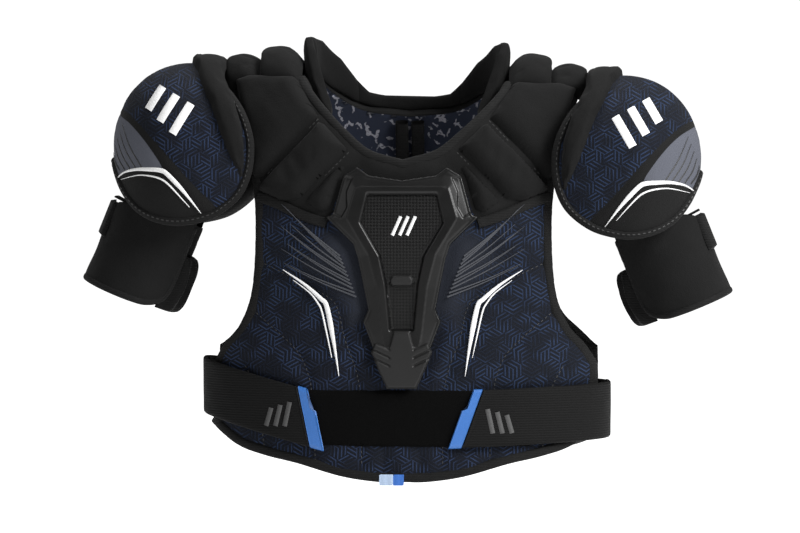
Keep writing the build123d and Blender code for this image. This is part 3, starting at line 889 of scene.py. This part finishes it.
def build_sternum_guard():
    frame_loop = mirrored(PLATE_HALF[:-1] + [(12, 100), (0, 100)])
    frame_piece, _ = sheet("sternum_frame_moulding", chest, frame_loop, 0.9, plate_height, FRAME_PLASTIC)
    place_on(frame_piece, "chest", "guard_frame_plastic", "sternum_frame", "sternum_backing")
    insert, _ = sheet("sternum_insert_plate", chest, WINDOW_LOOP * [1.06, 1], 1.0, insert_height, CARBON)
    place_on(insert, "chest", "carbon_look_plastic", "sternum_insert", "sternum_channel")
    clip_loop = mirrored([(0, 208), (9, 208), (12, 204), (12, 199), (9, 196), (0, 196)])
    clip, _ = sheet(
        "sternum_clip_bridge", chest, clip_loop, 0.8, lambda x, z, d: 4 + 5 * ramp(d, 0, 2.5), SHELL
    )
    place_on(clip, "chest", "shell_plastic", "sternum_clip")
    tail_loop = mirrored([(0, 153), (8, 153), (12, 138), (25, 142), (29, 132), (22, 114), (14, 96), (0, 96)])
    tail, _ = sheet(
        "sternum_tail_pad", chest, tail_loop, 0.8, lambda x, z, d: tail_height(x, z, d) + 4.6, SHELL
    )
    place_on(tail, "chest", "shell_plastic", "sternum_tail")
    bars = [([(k * 7 - 9, 246), (k * 7 - 1, 264)], [3.2, 3.2]) for k in range(3)]
    mark = ribbons("sternum_mark", chest, bars, WHITE_FILM, grow=5.7, rise=0.25)
    place_on(mark, "chest", "carbon_look_plastic")


build_sternum_guard()


# ---- rolls and collar
def roll_piece(name, x_low, x_high, front_z, back_z, top, side, seed):
    """A stuffed roll over the shoulder, narrower and lower towards its ends."""
    across = np.linspace(-1, 1, 23)
    middle = (x_low + x_high) / 2
    leans = np.linspace(torso_lean(middle, front_z), math.pi - torso_lean(middle, back_z), 70)
    s, lean = np.meshgrid(across, leans)
    share = np.linspace(-1, 1, len(leans))[:, None] + 0 * s
    body = (1 - np.abs(s) ** 2.8) ** 0.5 * (1 - np.abs(share) ** 10) ** 0.5
    x = middle + s * (x_high - x_low) / 2
    grow = -1.0 + top * body + 0.7 * ripple(x, lean * 120, 11.0, seed) * body
    points = torso_arc(x, lean, grow)
    return new_piece(name, points, grid_faces(*x.shape), CLOTH, side)


COLLAR_WIDE, COLLAR_DEEP, COLLAR_THICK = 97.5, 72.5, 6.0  # half sizes


def collar_crest(y):
    """Height of the collar's top edge, front to back."""
    levels = [360, 384, 407, 429, 440, 441, 438, 421, 407, 389, 386, 386]
    return np.interp(y, [-50, -40, -30, -18, -4, 10, 31, 50, 57, 65, 70, 80], levels)


def neckline(x, front):
    """Height of the neckline under the collar."""
    known = [0, 34, 58, 81, 98, 104] if front else [0, 40, 60, 80, 98, 104]
    levels = [321, 331, 350, 373, 393, 418] if front else [374, 378, 384, 396, 410, 420]
    return np.interp(np.abs(x), known, levels)


def collar_piece(name, start, end, side, material):
    """A stuffed standing band round the neck, between two angles measured from the front."""
    turns = np.radians(np.linspace(start, end, 60))
    rise, deep = section(26, 0.75, 0.55)
    x = COLLAR_WIDE * np.sin(turns)
    y = -COLLAR_DEEP * np.cos(turns)
    top = collar_crest(y)
    low = np.where(y < 0, neckline(x, True), neckline(x, False)) - 4
    share = np.linspace(-1, 1, len(turns))
    stuffing = (1 - np.abs(share) ** 14) ** 0.5
    middle, tall = (top + low) / 2, np.maximum((top - low) / 2, 4.0)
    bulge = COLLAR_THICK * deep[None] * stuffing[:, None]
    z = middle[:, None] + tall[:, None] * rise[None]
    bulge = bulge * (1 + 0.12 * ripple(turns[:, None] * 90, z, 14.0, 2.0))
    lean_out = 0.05 * (z - low[:, None])
    radial = np.stack([np.sin(turns), -np.cos(turns)], axis=1)
    out = bulge + lean_out - 2.0
    points = np.stack([x[:, None] + radial[:, :1] * out, y[:, None] + radial[:, 1:] * out, z], axis=-1)
    return new_piece(name, points, tube_faces(len(turns), len(rise), flip=True), material, side)


def build_shoulders():
    for side_name, side in SIDES:
        inner = roll_piece(f"inner_roll_{side_name}_quilt", 104, 143, 391, 388, 15.5, side, 1.0)
        soften(place_on(inner, "back_harness", "black_knit", f"inner_roll_{side_name}"), 2.0)
        outer = roll_piece(f"outer_roll_{side_name}_quilt", 143.5, 178, 387, 388, 12.5, side, 5.0)
        soften(place_on(outer, "back_harness", "black_knit", f"outer_roll_{side_name}"), 2.0)
        collar = collar_piece(f"collar_{side_name}_quilt", 50, 148, side, CLOTH_LOW)
        soften(place_on(collar, "back_harness", "black_knit", f"collar_pad_{side_name}"), 2.5)
    nape = collar_piece("collar_nape_quilt", 144, 216, 1, CLOTH_LOW)
    place_on(nape, "back_harness", "black_knit", "collar_back")


build_shoulders()


# ---- the back
BACK_NECK = smooth((0, 374), (40, 378), (60, 384), (80, 396), (98, 412), (104, 420))
BACK_ARMHOLE = smooth(
    (178, 404), (158, 340), (145, 300), (140, 250), (142, 205), (155, 168), (175, 148), (192.5, 132)
)
BACK_HEM = smooth((192.5, 62), (186, 40), (165, 29), (130, 26), (60, 26), (0, 26))
BACK_LOOP = mirrored(np.vstack([BACK_NECK, [(104, 424), (178, 404)], BACK_ARMHOLE, BACK_HEM]))
BLADE = np.array([(42, 196), (120, 214), (132, 300), (110, 338), (42, 346)], float)
KIDNEY = mirrored([(0, 84), (96, 84), (112, 48), (0, 48)])
BACK_SEAMS = [
    np.array([(36, 362), (36, 34)]),
    np.array([(36, 180), (150, 196)]),
    np.array([(36, 100), (186, 100)]),
]


def back_height(x, z, inside):
    swell = (1 - np.exp(-seam_gap(x, z, BACK_SEAMS) / 7.0)) * (1 - np.exp(-inside / 9.0))
    return -1.4 + 2.2 * swell + 0.5 * ripple(x, z, 17.0, 3.0) * swell


def pillow(top, soft, seed):
    """A height rule for a pad: domed edges and a slightly uneven top."""

    def height(x, z, inside):
        dome = np.sqrt(1 - (1 - np.minimum(inside / soft, 1)) ** 2)
        return -0.5 + top * dome + 0.5 * ripple(x, z, 15.0, seed) * dome

    return height


def build_back():
    cover, _ = sheet("back_cover_cloth", back, BACK_LOOP, 3.0, back_height, CLOTH)
    place_on(cover, "back_harness", "black_knit", "back_cover", "back_foam")
    lining, _ = sheet("back_lining_cloth", back, BACK_LOOP, 3.0, inner_height, LINING, flip=True)
    place_on(lining, "back_harness", "lining_mesh", "back_lining")
    bind_shell("back", back, "back_binding", BACK_NECK, BACK_HEM)
    for side_name, side in SIDES:
        blade, _ = sheet(
            f"shoulder_blade_pad_{side_name}", back, BLADE, 3.0, pillow(9.5, 14.0, 2.0), CLOTH_LOW, side
        )
        soften(place_on(blade, "back_harness", "black_knit", *(["back_pads"] if side > 0 else [])), 3.0)
        name = f"back_armhole_{side_name}_binding"
        bind_armhole(name, "back_harness", back, BACK_ARMHOLE, (192.8, 100), (192.5, 62), side)
        stitch_lines(back, f"back_seam_thread_{side_name}", BACK_SEAMS, "back_harness", side, -1.0)
    kidney, _ = sheet("kidney_pad", back, KIDNEY, 3.0, pillow(9.0, 10.0, 6.0), CLOTH_LOW)
    soften(place_on(kidney, "back_harness", "black_knit"), 3.0)
    build_spine_guard()
    build_spine_tapes()


def build_spine_guard():
    """Segmented moulded guard with a flat outer face."""
    low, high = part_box("spine_guard")
    x, z = np.meshgrid(np.linspace(-32, 32, 65), np.linspace(low.z / MM, high.z / MM, 181))
    edge = np.minimum(32 - np.abs(x), np.minimum(z - low.z / MM, high.z / MM - z))
    gap = np.abs((z - low.z / MM) % 40 - 20)
    groove = ramp(-(20 - gap), -2.4, -0.8) * ramp(edge, 0, 3)
    y = high.y / MM - 12 * (1 - ramp(edge, -0.5, 4.5)) - 2.5 * groove
    piece = new_piece("spine_guard_moulding", np.stack([x, y, z], axis=-1), grid_faces(*x.shape), SHELL)
    piece.data.flip_normals()
    place_on(piece, "back_harness", "shell_plastic", "spine_guard")


def build_spine_tapes():
    """Two folded tapes inside the nape, side by side."""
    points, faces = [], []
    for side in (-1, 1):
        z = np.linspace(292, 372, 41)
        wide, deep = section(20, 0.5, 0.7)
        x = side * (9.0 + 7.2 * wide)
        lift = -18.0 + 2.9 * deep
        wide, tall = np.meshgrid(x, z)
        fold = 1.3 * np.sin(tall / 9.0 + side) * np.cos(wide / 6.0)
        ring = back(wide, tall, lift[None] + fold * 0.5)
        base = sum(len(part) for part in points)
        faces += [[corner + base for corner in face] for face in grid_faces(*wide.shape, wrap=True)]
        points.append(ring.reshape(-1, 3))
    piece = new_piece("spine_tapes", np.vstack(points), faces, TAPE)
    place_on(piece, "back_harness", "lining_mesh", "spine_loops")


build_back()


# ---- the shoulder caps
CAP_RIM = smooth(
    (184, 392), (172, 384), (158, 366), (149, 345), (146, 325), (149, 300), (160, 277), (182, 259),
    (205, 251), (228, 249), (250, 254), (268, 265), (282, 282), (292, 302),
)
CAP_LOOP = np.vstack([CAP_RIM, [(296, 312), (300, 330), (300, 430), (184, 430)]])
ROLL_LINE = smooth(
    (217, 413), (207, 402), (196, 380), (188, 364), (178, 337), (171, 320), (164, 304), (160, 292)
)
BAND_TOP = smooth((284, 366), (264, 352), (239, 327), (222, 308), (206, 290), (190, 274), (178, 262))
BAND_LOW = smooth(
    (288, 360), (272, 350), (256, 334), (241, 314), (236, 305), (229, 298), (216, 283), (196, 258)
)
CHEVRON = smooth(
    (199, 262), (216, 284), (231, 300), (238, 304), (251, 305), (264, 305), (278, 302), (289, 295)
)
CHEVRON_LOW = smooth((210, 268), (229, 289), (239, 296), (252, 299), (264, 299), (282, 295))


RIM_OUTER_END = np.array([294.4, 309.0])  # where the lower edge crosses from the front half to the back
RIM_INSET, RIM_HALF = 4.2, 4.6  # from the edge to the tape's middle, and half its width
RIM_DEPTH, RIM_THICK = -5.9, 8.1  # the same, measured square to the cover


def cap_rim():
    """The cap's lower edge in space, front to back, with its outward and inward directions."""
    closing = np.linspace(1, 0, 12)[1:, None] ** 2
    path = np.vstack([CAP_RIM, RIM_OUTER_END + (CAP_RIM[-1] - RIM_OUTER_END) * closing])
    front = cap_front(path[:, 0], path[:, 1], 0.0)
    front[-1, 1] = 0.0
    rim = resample(np.vstack([front, front[-2::-1] * [1, -1, 1]]), 2.5)
    wide = np.where(rim[:, 0] < CAP_X, CAP_IN, CAP_OUT)
    tall = np.where(rim[:, 2] < CAP_Z, CAP_DOWN, CAP_UP)
    reach = np.stack([wide, 0 * wide + CAP_DEPTH, tall], axis=1)
    normal = (rim - [CAP_X, 0, CAP_Z]) / reach**2
    normal /= np.linalg.norm(normal, axis=1)[:, None]
    heading = np.gradient(rim, axis=0)
    heading /= np.linalg.norm(heading, axis=1)[:, None]
    return rim, normal, np.cross(normal, heading)


def build_cap_rim(side_name, side):
    """Binding folded over the lower edge, carried round the outside in one length, and its stitching."""
    body = f"cap_{side_name}"
    rim, normal, inward = cap_rim()
    square, tall = section(20, 0.6)
    points = rim[:, None] + inward[:, None] * (RIM_INSET + RIM_HALF * square)[None, :, None]
    points = points + normal[:, None] * (RIM_DEPTH + RIM_THICK * tall)[None, :, None]
    binding = new_piece(f"{body}_binding", points, grid_faces(*points.shape[:2], wrap=True), TAPE, side)
    place_on(binding, body, "binding_tape", f"cap_binding_{side_name}")
    seam = (rim + inward * 6.6)[6 : len(rim) // 2 - 1][:, [0, 2]]
    for half, surface in (("front", cap_front), ("rear", cap_back)):
        stitch_lines(surface, f"{body}_{half}_rim_thread", [seam], body, side, 2.3)


HANGER_ROOT = np.array([(268.3, 296), (271.2, 281), (274.6, 270.9), (281, 270.8), (293.6, 277.6)])


def cap_height(x, z, inside):
    swell = (1 - np.exp(-seam_gap(x, z, [BAND_TOP, BAND_LOW]) / 4.0)) * (1 - np.exp(-inside / 7.0))
    return -1.2 + 1.5 * swell + 0.25 * ripple(x, z, 16.0, 2.0) * swell


def cap_lining_height(x, z, inside):
    return -13.0 + 0 * inside


def build_cap(side_name, side):
    body = f"cap_{side_name}"
    print_zones = [("black", grey(BLACK_CLOTH)), ("grey", (0.07, 0.074, 0.09, 1.0))]
    cloth = bpy.data.materials.get("cap_print") or printed_cloth("cap_print", print_zones)
    for half, surface, nodes in (("front", cap_front, ["cap_cover", "cap_plate"]), ("rear", cap_back, [])):
        cover, flat = sheet(f"{body}_{half}_cover", surface, CAP_LOOP, 2.0, cap_height, cloth, side)
        below_band = np.vstack([BAND_TOP, [(150, 240), (320, 240), (320, 366)]])
        field(cover, "black", depth_inside(flat, below_band)[0])
        grey_zone = np.vstack([BAND_LOW[:33], CHEVRON[20:], [(310, 290), (310, 372)]])
        field(cover, "grey", depth_inside(flat, grey_zone)[0])
        place_on(cover, body, "blue_print_knit", *[f"{node}_{side_name}" for node in nodes])
        inner, _ = sheet(f"{body}_{half}_lining", surface, CAP_LOOP, 4.0, cap_lining_height, CLOTH_LOW, side)
        inner.data.flip_normals()
        place_on(inner, body, "foam", *([f"cap_foam_{side_name}"] if half == "front" else []))
        white = [
            (CHEVRON, [0.4, 2.4, 4.4, 4.6, 3.8, 2.4, 0.6]),
            (CHEVRON_LOW, [0.4, 1.3, 1.8, 1.6, 1.0, 0.4]),
        ]
        mark = ribbons(f"{body}_{half}_chevron", surface, white, WHITE_FILM, side, grow=0.7, rise=0.3)
        place_on(mark, body, "blue_print_knit")
        build_cap_prints(body, half, surface, side)
    root = new_piece(f"{body}_hanger_root", *slab(HANGER_ROOT, 38.0, 2.0), ELASTIC, side)
    place_on(root, body, "elastic_webbing", f"hanger_root_{side_name}")
    build_cap_rim(side_name, side)
    build_cap_roll(side_name, side)


def build_cap_prints(body, half, surface, side):
    """Dark slanted lines on the grey panel and three plain bars on the blue one."""
    strokes = []
    for k in range(6):
        foot = np.array([258 + 6.5 * k, 307 - 0.8 * k])
        head = np.array([281 + 3.0 * k, 350 - 7.0 * k])
        strokes.append((bowed(foot, head, [1.5, -1]), [1.3, 1.0, 0.3]))
    piece = ribbons(f"{body}_{half}_strokes", surface, strokes, DARK_FILM, side, grow=0.55, rise=0.12)
    place_on(piece, body, "blue_print_knit")
    bars = []
    for k, length in enumerate((34.0, 30.0, 26.0)):
        foot = np.array([226 + 13.0 * k, 340 + 12.0 * k])
        bars.append((np.array([foot, foot + np.array([-0.5, 0.87]) * length]), [8.5, 8.5]))
    piece = ribbons(f"{body}_{half}_bars", surface, bars, WHITE_FILM, side, grow=0.7, rise=0.3)
    place_on(piece, body, "blue_print_knit")


def build_cap_roll(side_name, side):
    """The stuffed roll along the cap's inner edge, from the front round the top to the back."""
    levels = np.linspace(0, 1, 46)
    outer = spread(resample(ROLL_LINE, 2.0), levels)
    inner = smooth((180, 416), (179, 398), (172, 384), (164, 366), (158, 345), (156, 322), (157, 292))
    inner = spread(inner, levels)
    across = np.linspace(0, 1, 19)
    flat = outer[:, None] * across[None, :, None] + inner[:, None] * (1 - across[None, :, None])
    dome = (1 - np.abs(2 * across - 1) ** 2.6) ** 0.5
    taper = (1 - levels**7) ** 0.6
    wide = np.linalg.norm(outer - inner, axis=1)
    grow = -1.0 + np.minimum(12.0, wide * 0.45)[:, None] * dome[None] * taper[:, None]
    grow += 0.5 * ripple(flat[..., 0], flat[..., 1], 10.0, 4.0) * dome[None]
    front = cap_front(flat[..., 0], flat[..., 1], grow)
    points = np.concatenate([front[::-1], (front * [1, -1, 1])[1:]])
    faces = grid_faces(*points.shape[:2])
    piece = new_piece(f"cap_{side_name}_roll", points, faces, CLOTH, side)
    soften(place_on(piece, f"cap_{side_name}", "black_knit", f"cap_roll_{side_name}"), 2.0)


# ---- the arm guards
GUARD_ROUND = 52.0  # millimetres round the guard for each radian
GUARD_REACH = math.acos(-40.0 / GUARD_WIDE)  # how far round the arm the guard goes, each way
GUARD_TOP = ([0, 20, 34, 80], [79.5, 79.5, 88.5, 99])  # its top end, by degrees from the outside
GUARD_SWEEP = GUARD_ROUND * GUARD_REACH
GUARD_FOOT = ([GUARD_SWEEP - 45, GUARD_SWEEP - 20, GUARD_SWEEP - 5, GUARD_SWEEP], [5, 8, 17, 32])


def guard_face(across, up, grow):
    """A point on the guard laid out flat: millimetres round the arm, and up it."""
    return arm_tube(across / GUARD_ROUND, up, grow)


def build_guard(side_name, side):
    body = f"arm_guard_{side_name}"
    angle, share = np.meshgrid(np.linspace(-GUARD_REACH, GUARD_REACH, 140), np.linspace(0, 1, 60))
    top = np.interp(np.degrees(np.abs(angle)), *GUARD_TOP)
    foot = np.interp(np.abs(angle) * GUARD_ROUND, *GUARD_FOOT)
    up = foot + (top - foot) * share
    soft = ripple(angle * 50, up, 20.0, 3.0)
    outer = arm_tube(angle, up, 0.6 + 0.9 * soft)
    inner = arm_tube(angle, up, -12.5)
    points = np.concatenate([outer, inner[::-1]])
    faces = grid_faces(*points.shape[:2])
    piece = new_piece(f"{body}_cloth", points, faces, CLOTH, side)
    nodes = [f"guard_cover_{side_name}", f"guard_foam_{side_name}", f"guard_plate_{side_name}"]
    place_on(piece, body, "black_knit", *nodes)
    corners = [(GUARD_SWEEP, 92), (GUARD_SWEEP, 60)] + list(zip(*GUARD_FOOT))[::-1] + [(0, 5)]
    edge = across_middle(smooth(*corners), 0)
    hem = tape(f"{body}_hem", guard_face, edge, 3.6, -13.0, 1.7, TAPE, side)
    place_on(hem, body, "binding_tape", f"guard_hem_{side_name}")
    strap = new_piece(f"{body}_hanger", *hanger_webbing(), ELASTIC, side)
    place_on(strap, body, "elastic_webbing", f"hanger_strap_{side_name}")
    build_arm_strap(side_name, side)


def hanger_webbing():
    """Webbing on the outside of the guard, a little in front of the arm's middle."""
    turn, up = np.meshgrid(np.linspace(-0.14, 0.55, 26), np.linspace(50, 87.5, 22))
    edge = np.minimum(ramp(turn, -0.14, -0.1), ramp(-turn, -0.55, -0.51))
    swell = edge * np.minimum(ramp(up, 50, 52), ramp(-up, -87.5, -85.5))
    outer = arm_tube(turn, up, 1.0 + 3.4 * swell)
    inner = arm_tube(turn, up, 0.6 + 0 * swell)
    points = np.concatenate([outer, inner[::-1]])
    return points, grid_faces(*points.shape[:2])


def slab(path, width, thick):
    """Points and faces of a soft flat strap that follows an X-Z path and is wide in Y."""
    path = resample(path, 2.5)
    out = -sideways(path)
    wide, deep = section(24, 0.3, 0.6)
    x = path[:, :1] + out[:, :1] * deep[None] * thick / 2
    z = path[:, 1:] + out[:, 1:] * deep[None] * thick / 2
    points = np.stack([x, 0 * x + wide[None] * width / 2, z], axis=-1)
    return points, grid_faces(*x.shape, wrap=True)


def build_arm_strap(side_name, side):
    """Gathered elastic round the inside of the arm, bulging out from under the guard's bound edges."""
    start = math.acos(-37.0 / GUARD_WIDE)
    turn, share = np.meshgrid(np.linspace(start, 2 * math.pi - start, 150), np.linspace(0, 1, 44))
    free = ramp(np.minimum(turn - start, 2 * math.pi - start - turn), 0, 0.32)
    dome = np.sqrt(1 - np.abs(2 * share - 1) ** 3.0)
    up = 4 + 58 * share
    gathers = np.sin(turn * 26 + 0.9 * np.sin(up / 7)) * (1 + 0.4 * np.sin(turn * 13))
    grow = -6.5 + free * (6.5 + 6.6 * dome + 2.2 * gathers * dome)
    points = np.concatenate([arm_tube(turn, up, grow + 0.6), arm_tube(turn, up, grow - 0.9)[::-1]])
    faces = grid_faces(*points.shape[:2])
    piece = new_piece(f"arm_strap_{side_name}_elastic", points, faces, ELASTIC, side)
    place_on(piece, f"arm_strap_{side_name}", "elastic_webbing", f"arm_strap_{side_name}")


for side_name, side in SIDES:
    build_cap(side_name, side)
    build_guard(side_name, side)


# ---- belly straps
STRAP_WIDTH = 56.0
STRAP_RISE = {"left": 29.0, "right": 5.0}
STRAP_END_X = {"left": 89.0, "right": 58.0}
STRAP_LEAN = {"left": 12.0, "right": 20.0}
STRAP_LOW = 38.0
STRAP_OUTSIDE = 7.4
STRAP_MARK = {"left": (112.0, 58.0), "right": (86.0, 52.0)}  # the foot of the first of three plain bars
TIP_WIDTH, TIP_STEP, TIP_STEP_AT = 13.0, 4.0, 0.68


def waist(angle, z, grow):
    """A point round the waist. Angle 0 is the right side and a quarter turn is the front."""
    wide, deep = HALF_WIDTH + grow, HALF_DEPTH + grow
    cosine, sine = np.cos(angle), np.sin(angle)
    x = wide * np.sign(cosine) * np.abs(cosine) ** (2 / ROUNDNESS)
    y = -deep * np.sign(sine) * np.abs(sine) ** (2 / ROUNDNESS)
    return np.stack([x, y, z + 0 * x], axis=-1)


def strap_face(x, z, grow):
    """A point on the outside of the closed belly strap, from a front-view place."""
    return waist(np.arccos(np.clip(x / HALF_WIDTH, 0, 1) ** (ROUNDNESS / 2)), z, grow + STRAP_OUTSIDE)


def waist_angle(x):
    return math.acos(min(1.0, (x / HALF_WIDTH) ** (ROUNDNESS / 2)))


def strap_centre(side_name, turns):
    """Height of the belly strap's middle line, which climbs towards the side."""
    rise = STRAP_RISE[side_name] / (HALF_WIDTH - STRAP_END_X[side_name])
    x = HALF_WIDTH * np.maximum(np.cos(turns), 0) ** (2 / ROUNDNESS)
    return STRAP_LOW + STRAP_WIDTH / 2 + rise * (x - STRAP_END_X[side_name])


def band(name, side_name, inner, outer_angle, low, high, material, side, lift=0.0, step=0.0):
    """A piece of belly strap from its leaning inner end, an x, out to an angle round the waist.

    outer_angle may also be a length: then the piece is that long and both its ends lean.
    """
    levels = np.concatenate([np.linspace(0, 1, 15), [0.02, 0.98, TIP_STEP_AT - 0.004, TIP_STEP_AT + 0.004]])
    levels = np.sort(levels) * 2 - 1
    level = np.concatenate([levels[::-1], levels[1:-1]])
    face = np.concatenate([np.ones(len(levels)), -np.ones(len(levels) - 2)])
    tall = face * np.sqrt(1 - np.abs(level) ** 24)
    up = (STRAP_WIDTH / 2 + lift) * level
    share = up / STRAP_WIDTH + 0.5
    start_x = inner + STRAP_LEAN[side_name] * share + step * (share > TIP_STEP_AT)
    start = np.array([waist_angle(x) for x in start_x])
    if outer_angle > 4:
        stop_x = inner + outer_angle + STRAP_LEAN[side_name] * share
        stop = np.array([waist_angle(x) for x in stop_x])
    else:
        stop = np.full(len(level), outer_angle)
    along = np.linspace(0, 1, max(14, int(abs(start.mean() - stop.mean()) * 70)))[:, None]
    turns = start[None] + (stop - start)[None] * along
    grow = (low + high) / 2 + (high - low) / 2 * tall
    waves = 0.35 * ripple(turns * 150, up[None] + 50, 16.0, 3.0)
    points = waist(turns, strap_centre(side_name, turns) + up[None], grow[None] + waves)
    return new_piece(name, points, tube_faces(len(along), len(level)), material, side)


def strap_anchor(side_name, side, start, stop):
    """The strap behind the side, sewn to the back: straight ends, no lean."""
    high, deep = section(28, 0.2, 0.6)
    up = STRAP_WIDTH / 2 * high
    grow = 3.4 + 1.4 * deep
    turns = np.linspace(start, stop, 30)[:, None]
    points = waist(turns, strap_centre(side_name, turns) + up[None], grow[None])
    return new_piece(f"strap_anchor_{side_name}", points, tube_faces(*points.shape[:2]), ELASTIC, side)


def landing_height(x, z, inside):
    return -0.6 + 2.6 * ramp(inside, 0, 2.0)


def build_straps():
    split = -math.asin((23.0 / HALF_DEPTH) ** (ROUNDNESS / 2))
    rear = -math.asin((66.0 / HALF_DEPTH) ** (ROUNDNESS / 2))
    for side_name, side in SIDES:
        body, end = f"belly_strap_{side_name}", STRAP_END_X[side_name]
        elastic = band(f"{body}_elastic", side_name, end, split, 4.8, 7.4, ELASTIC, side)
        place_on(elastic, body, "elastic_webbing", f"belly_strap_{side_name}")
        foot = np.array(STRAP_MARK[side_name])
        bars = [(np.array([foot + (9 * k, 0), foot + (9 * k - 5, 24 - 3 * k)]), [4.6, 4.6]) for k in range(3)]
        mark = ribbons(f"{body}_mark", strap_face, bars, MARK_FILM, side, grow=0.5, rise=0.25)
        place_on(mark, body, "elastic_webbing")
        tab = band(f"{body}_tab", side_name, end - 1, 42.0, 2.6, 5.2, ELASTIC, side, -0.6)
        place_on(tab, body, "elastic_webbing", f"strap_tab_{side_name}")
        inner = end - TIP_WIDTH
        tip = band(f"{body}_tip", side_name, inner, TIP_WIDTH - 1, 2.7, 6.0, BLUE_FILM, side, 0.8, TIP_STEP)
        place_on(tip, body, "tip_blue", f"strap_tip_{side_name}")
        anchor = strap_anchor(side_name, side, split + 0.12, rear)
        place_on(anchor, "back_harness", "elastic_webbing", *(["strap_anchors"] if side > 0 else []))
    loop = np.array([(-128, 51), (-92, 39), (128, 38), (128, 94), (-128, 94)], float)
    landing, _ = sheet("landing_strip_pile", chest, fine_loop(loop, 4.0), 2.5, landing_height, LOOP)
    place_on(landing, "chest", "loop_velcro", "landing_strip")


build_straps()


def label_height(x, z, inside):
    return 2.2 + 0.2 * np.sin(x)


def build_label():
    """A small folded label on the hem, blue and white, with no lettering."""
    for name, low, high, material, nodes in (
        ("white", -22.0, -8.5, LABEL_WHITE, ["size_label"]),
        ("blue", -8.5, 2.0, LABEL_BLUE, []),
    ):
        loop = np.array([(low, 0.5), (high, 0.5), (high, 11.5), (low, 11.5)])
        piece, _ = sheet(f"size_label_{name}", chest, fine_loop(loop, 2.0), 1.5, label_height, material)
        place_on(piece, "chest", "label_fabric", *nodes)


build_label()


# ---- stage, light and camera
FLOOR_Z = -160.0
FLOOR_REACH = 12000.0
FLOOR_GLOW, FLOOR_BOUNCE = 1.0, 0.3  # how bright the floor looks, and how much it lights the object
WORLD_GLOW, WORLD_LIGHT = 1.05, 0.2  # the same for the surroundings


def build_stage():
    """A plain pale floor, open on every side so that the object can be seen from anywhere."""
    ends = (-FLOOR_REACH, FLOOR_REACH)
    points = [(x, y, FLOOR_Z) for y in ends for x in ends]
    s = Shader("paper")
    s.surface.inputs["Emission Color"].default_value = (1, 1, 1, 1)
    seen = s.node("ShaderNodeLightPath").outputs["Is Camera Ray"]
    glow = s.math("MULTIPLY_ADD", seen, FLOOR_GLOW - FLOOR_BOUNCE, FLOOR_BOUNCE)
    s.link(glow, s.surface.inputs["Emission Strength"])
    paper = s.finish(grey(0.9), 0.9)
    new_piece("floor", points, grid_faces(2, 2), paper)


def build_world():
    """White to the camera, and a weaker soft light on the object."""
    world = bpy.data.worlds.new("studio")
    bpy.context.scene.world = world
    world.use_nodes = True
    nodes, links = world.node_tree.nodes, world.node_tree.links
    background = nodes["Background"]
    background.inputs["Color"].default_value = (1, 1, 1, 1)
    path = nodes.new("ShaderNodeLightPath")
    strength = nodes.new("ShaderNodeMapRange")
    strength.inputs["To Min"].default_value = WORLD_LIGHT
    strength.inputs["To Max"].default_value = WORLD_GLOW
    links.new(path.outputs["Is Camera Ray"], strength.inputs["Value"])
    links.new(strength.outputs["Result"], background.inputs["Strength"])


def soft_light(name, place, aim, size, power):
    data = bpy.data.lights.new(name, "AREA")
    data.shape = "RECTANGLE"
    data.size, data.size_y = size
    data.energy = power
    light = bpy.data.objects.new(name, data)
    light.location = place
    light.rotation_euler = (Vector(aim) - Vector(place)).to_track_quat("-Z", "Y").to_euler()
    bpy.context.scene.collection.objects.link(light)


CAMERA_TURN, CAMERA_TILT = math.radians(2.8), math.radians(1.5)  # to the right and up from the front
CAMERA_AWAY, CAMERA_AIM = 4.0, Vector((-0.007, 0.0, 0.213))
VIEW_WIDTH, SENSOR = 0.806, 36.0


def build_camera():
    data = bpy.data.cameras.new("camera")
    data.sensor_width = SENSOR
    data.lens = SENSOR * CAMERA_AWAY / VIEW_WIDTH
    camera = bpy.data.objects.new("camera", data)
    flat = math.cos(CAMERA_TILT)
    away = Vector((math.sin(CAMERA_TURN) * flat, -math.cos(CAMERA_TURN) * flat, math.sin(CAMERA_TILT)))
    camera.location = CAMERA_AIM + away * CAMERA_AWAY
    camera.rotation_euler = (-away).to_track_quat("-Z", "Y").to_euler()
    bpy.context.scene.collection.objects.link(camera)
    bpy.context.scene.camera = camera


bpy.context.scene.view_settings.view_transform = "Standard"
build_stage()
soft_light("key", (1.9, -1.3, 1.7), (0, 0, 0.25), (1.3, 1.3), 122)
soft_light("fill", (-1.7, -1.6, 1.3), (0, 0, 0.25), (1.4, 1.4), 8)
soft_light("top", (0.0, 0.3, 1.9), (0, 0, 0.3), (2.0, 1.2), 28)
build_world()
build_camera()

inflate_soft_pieces()
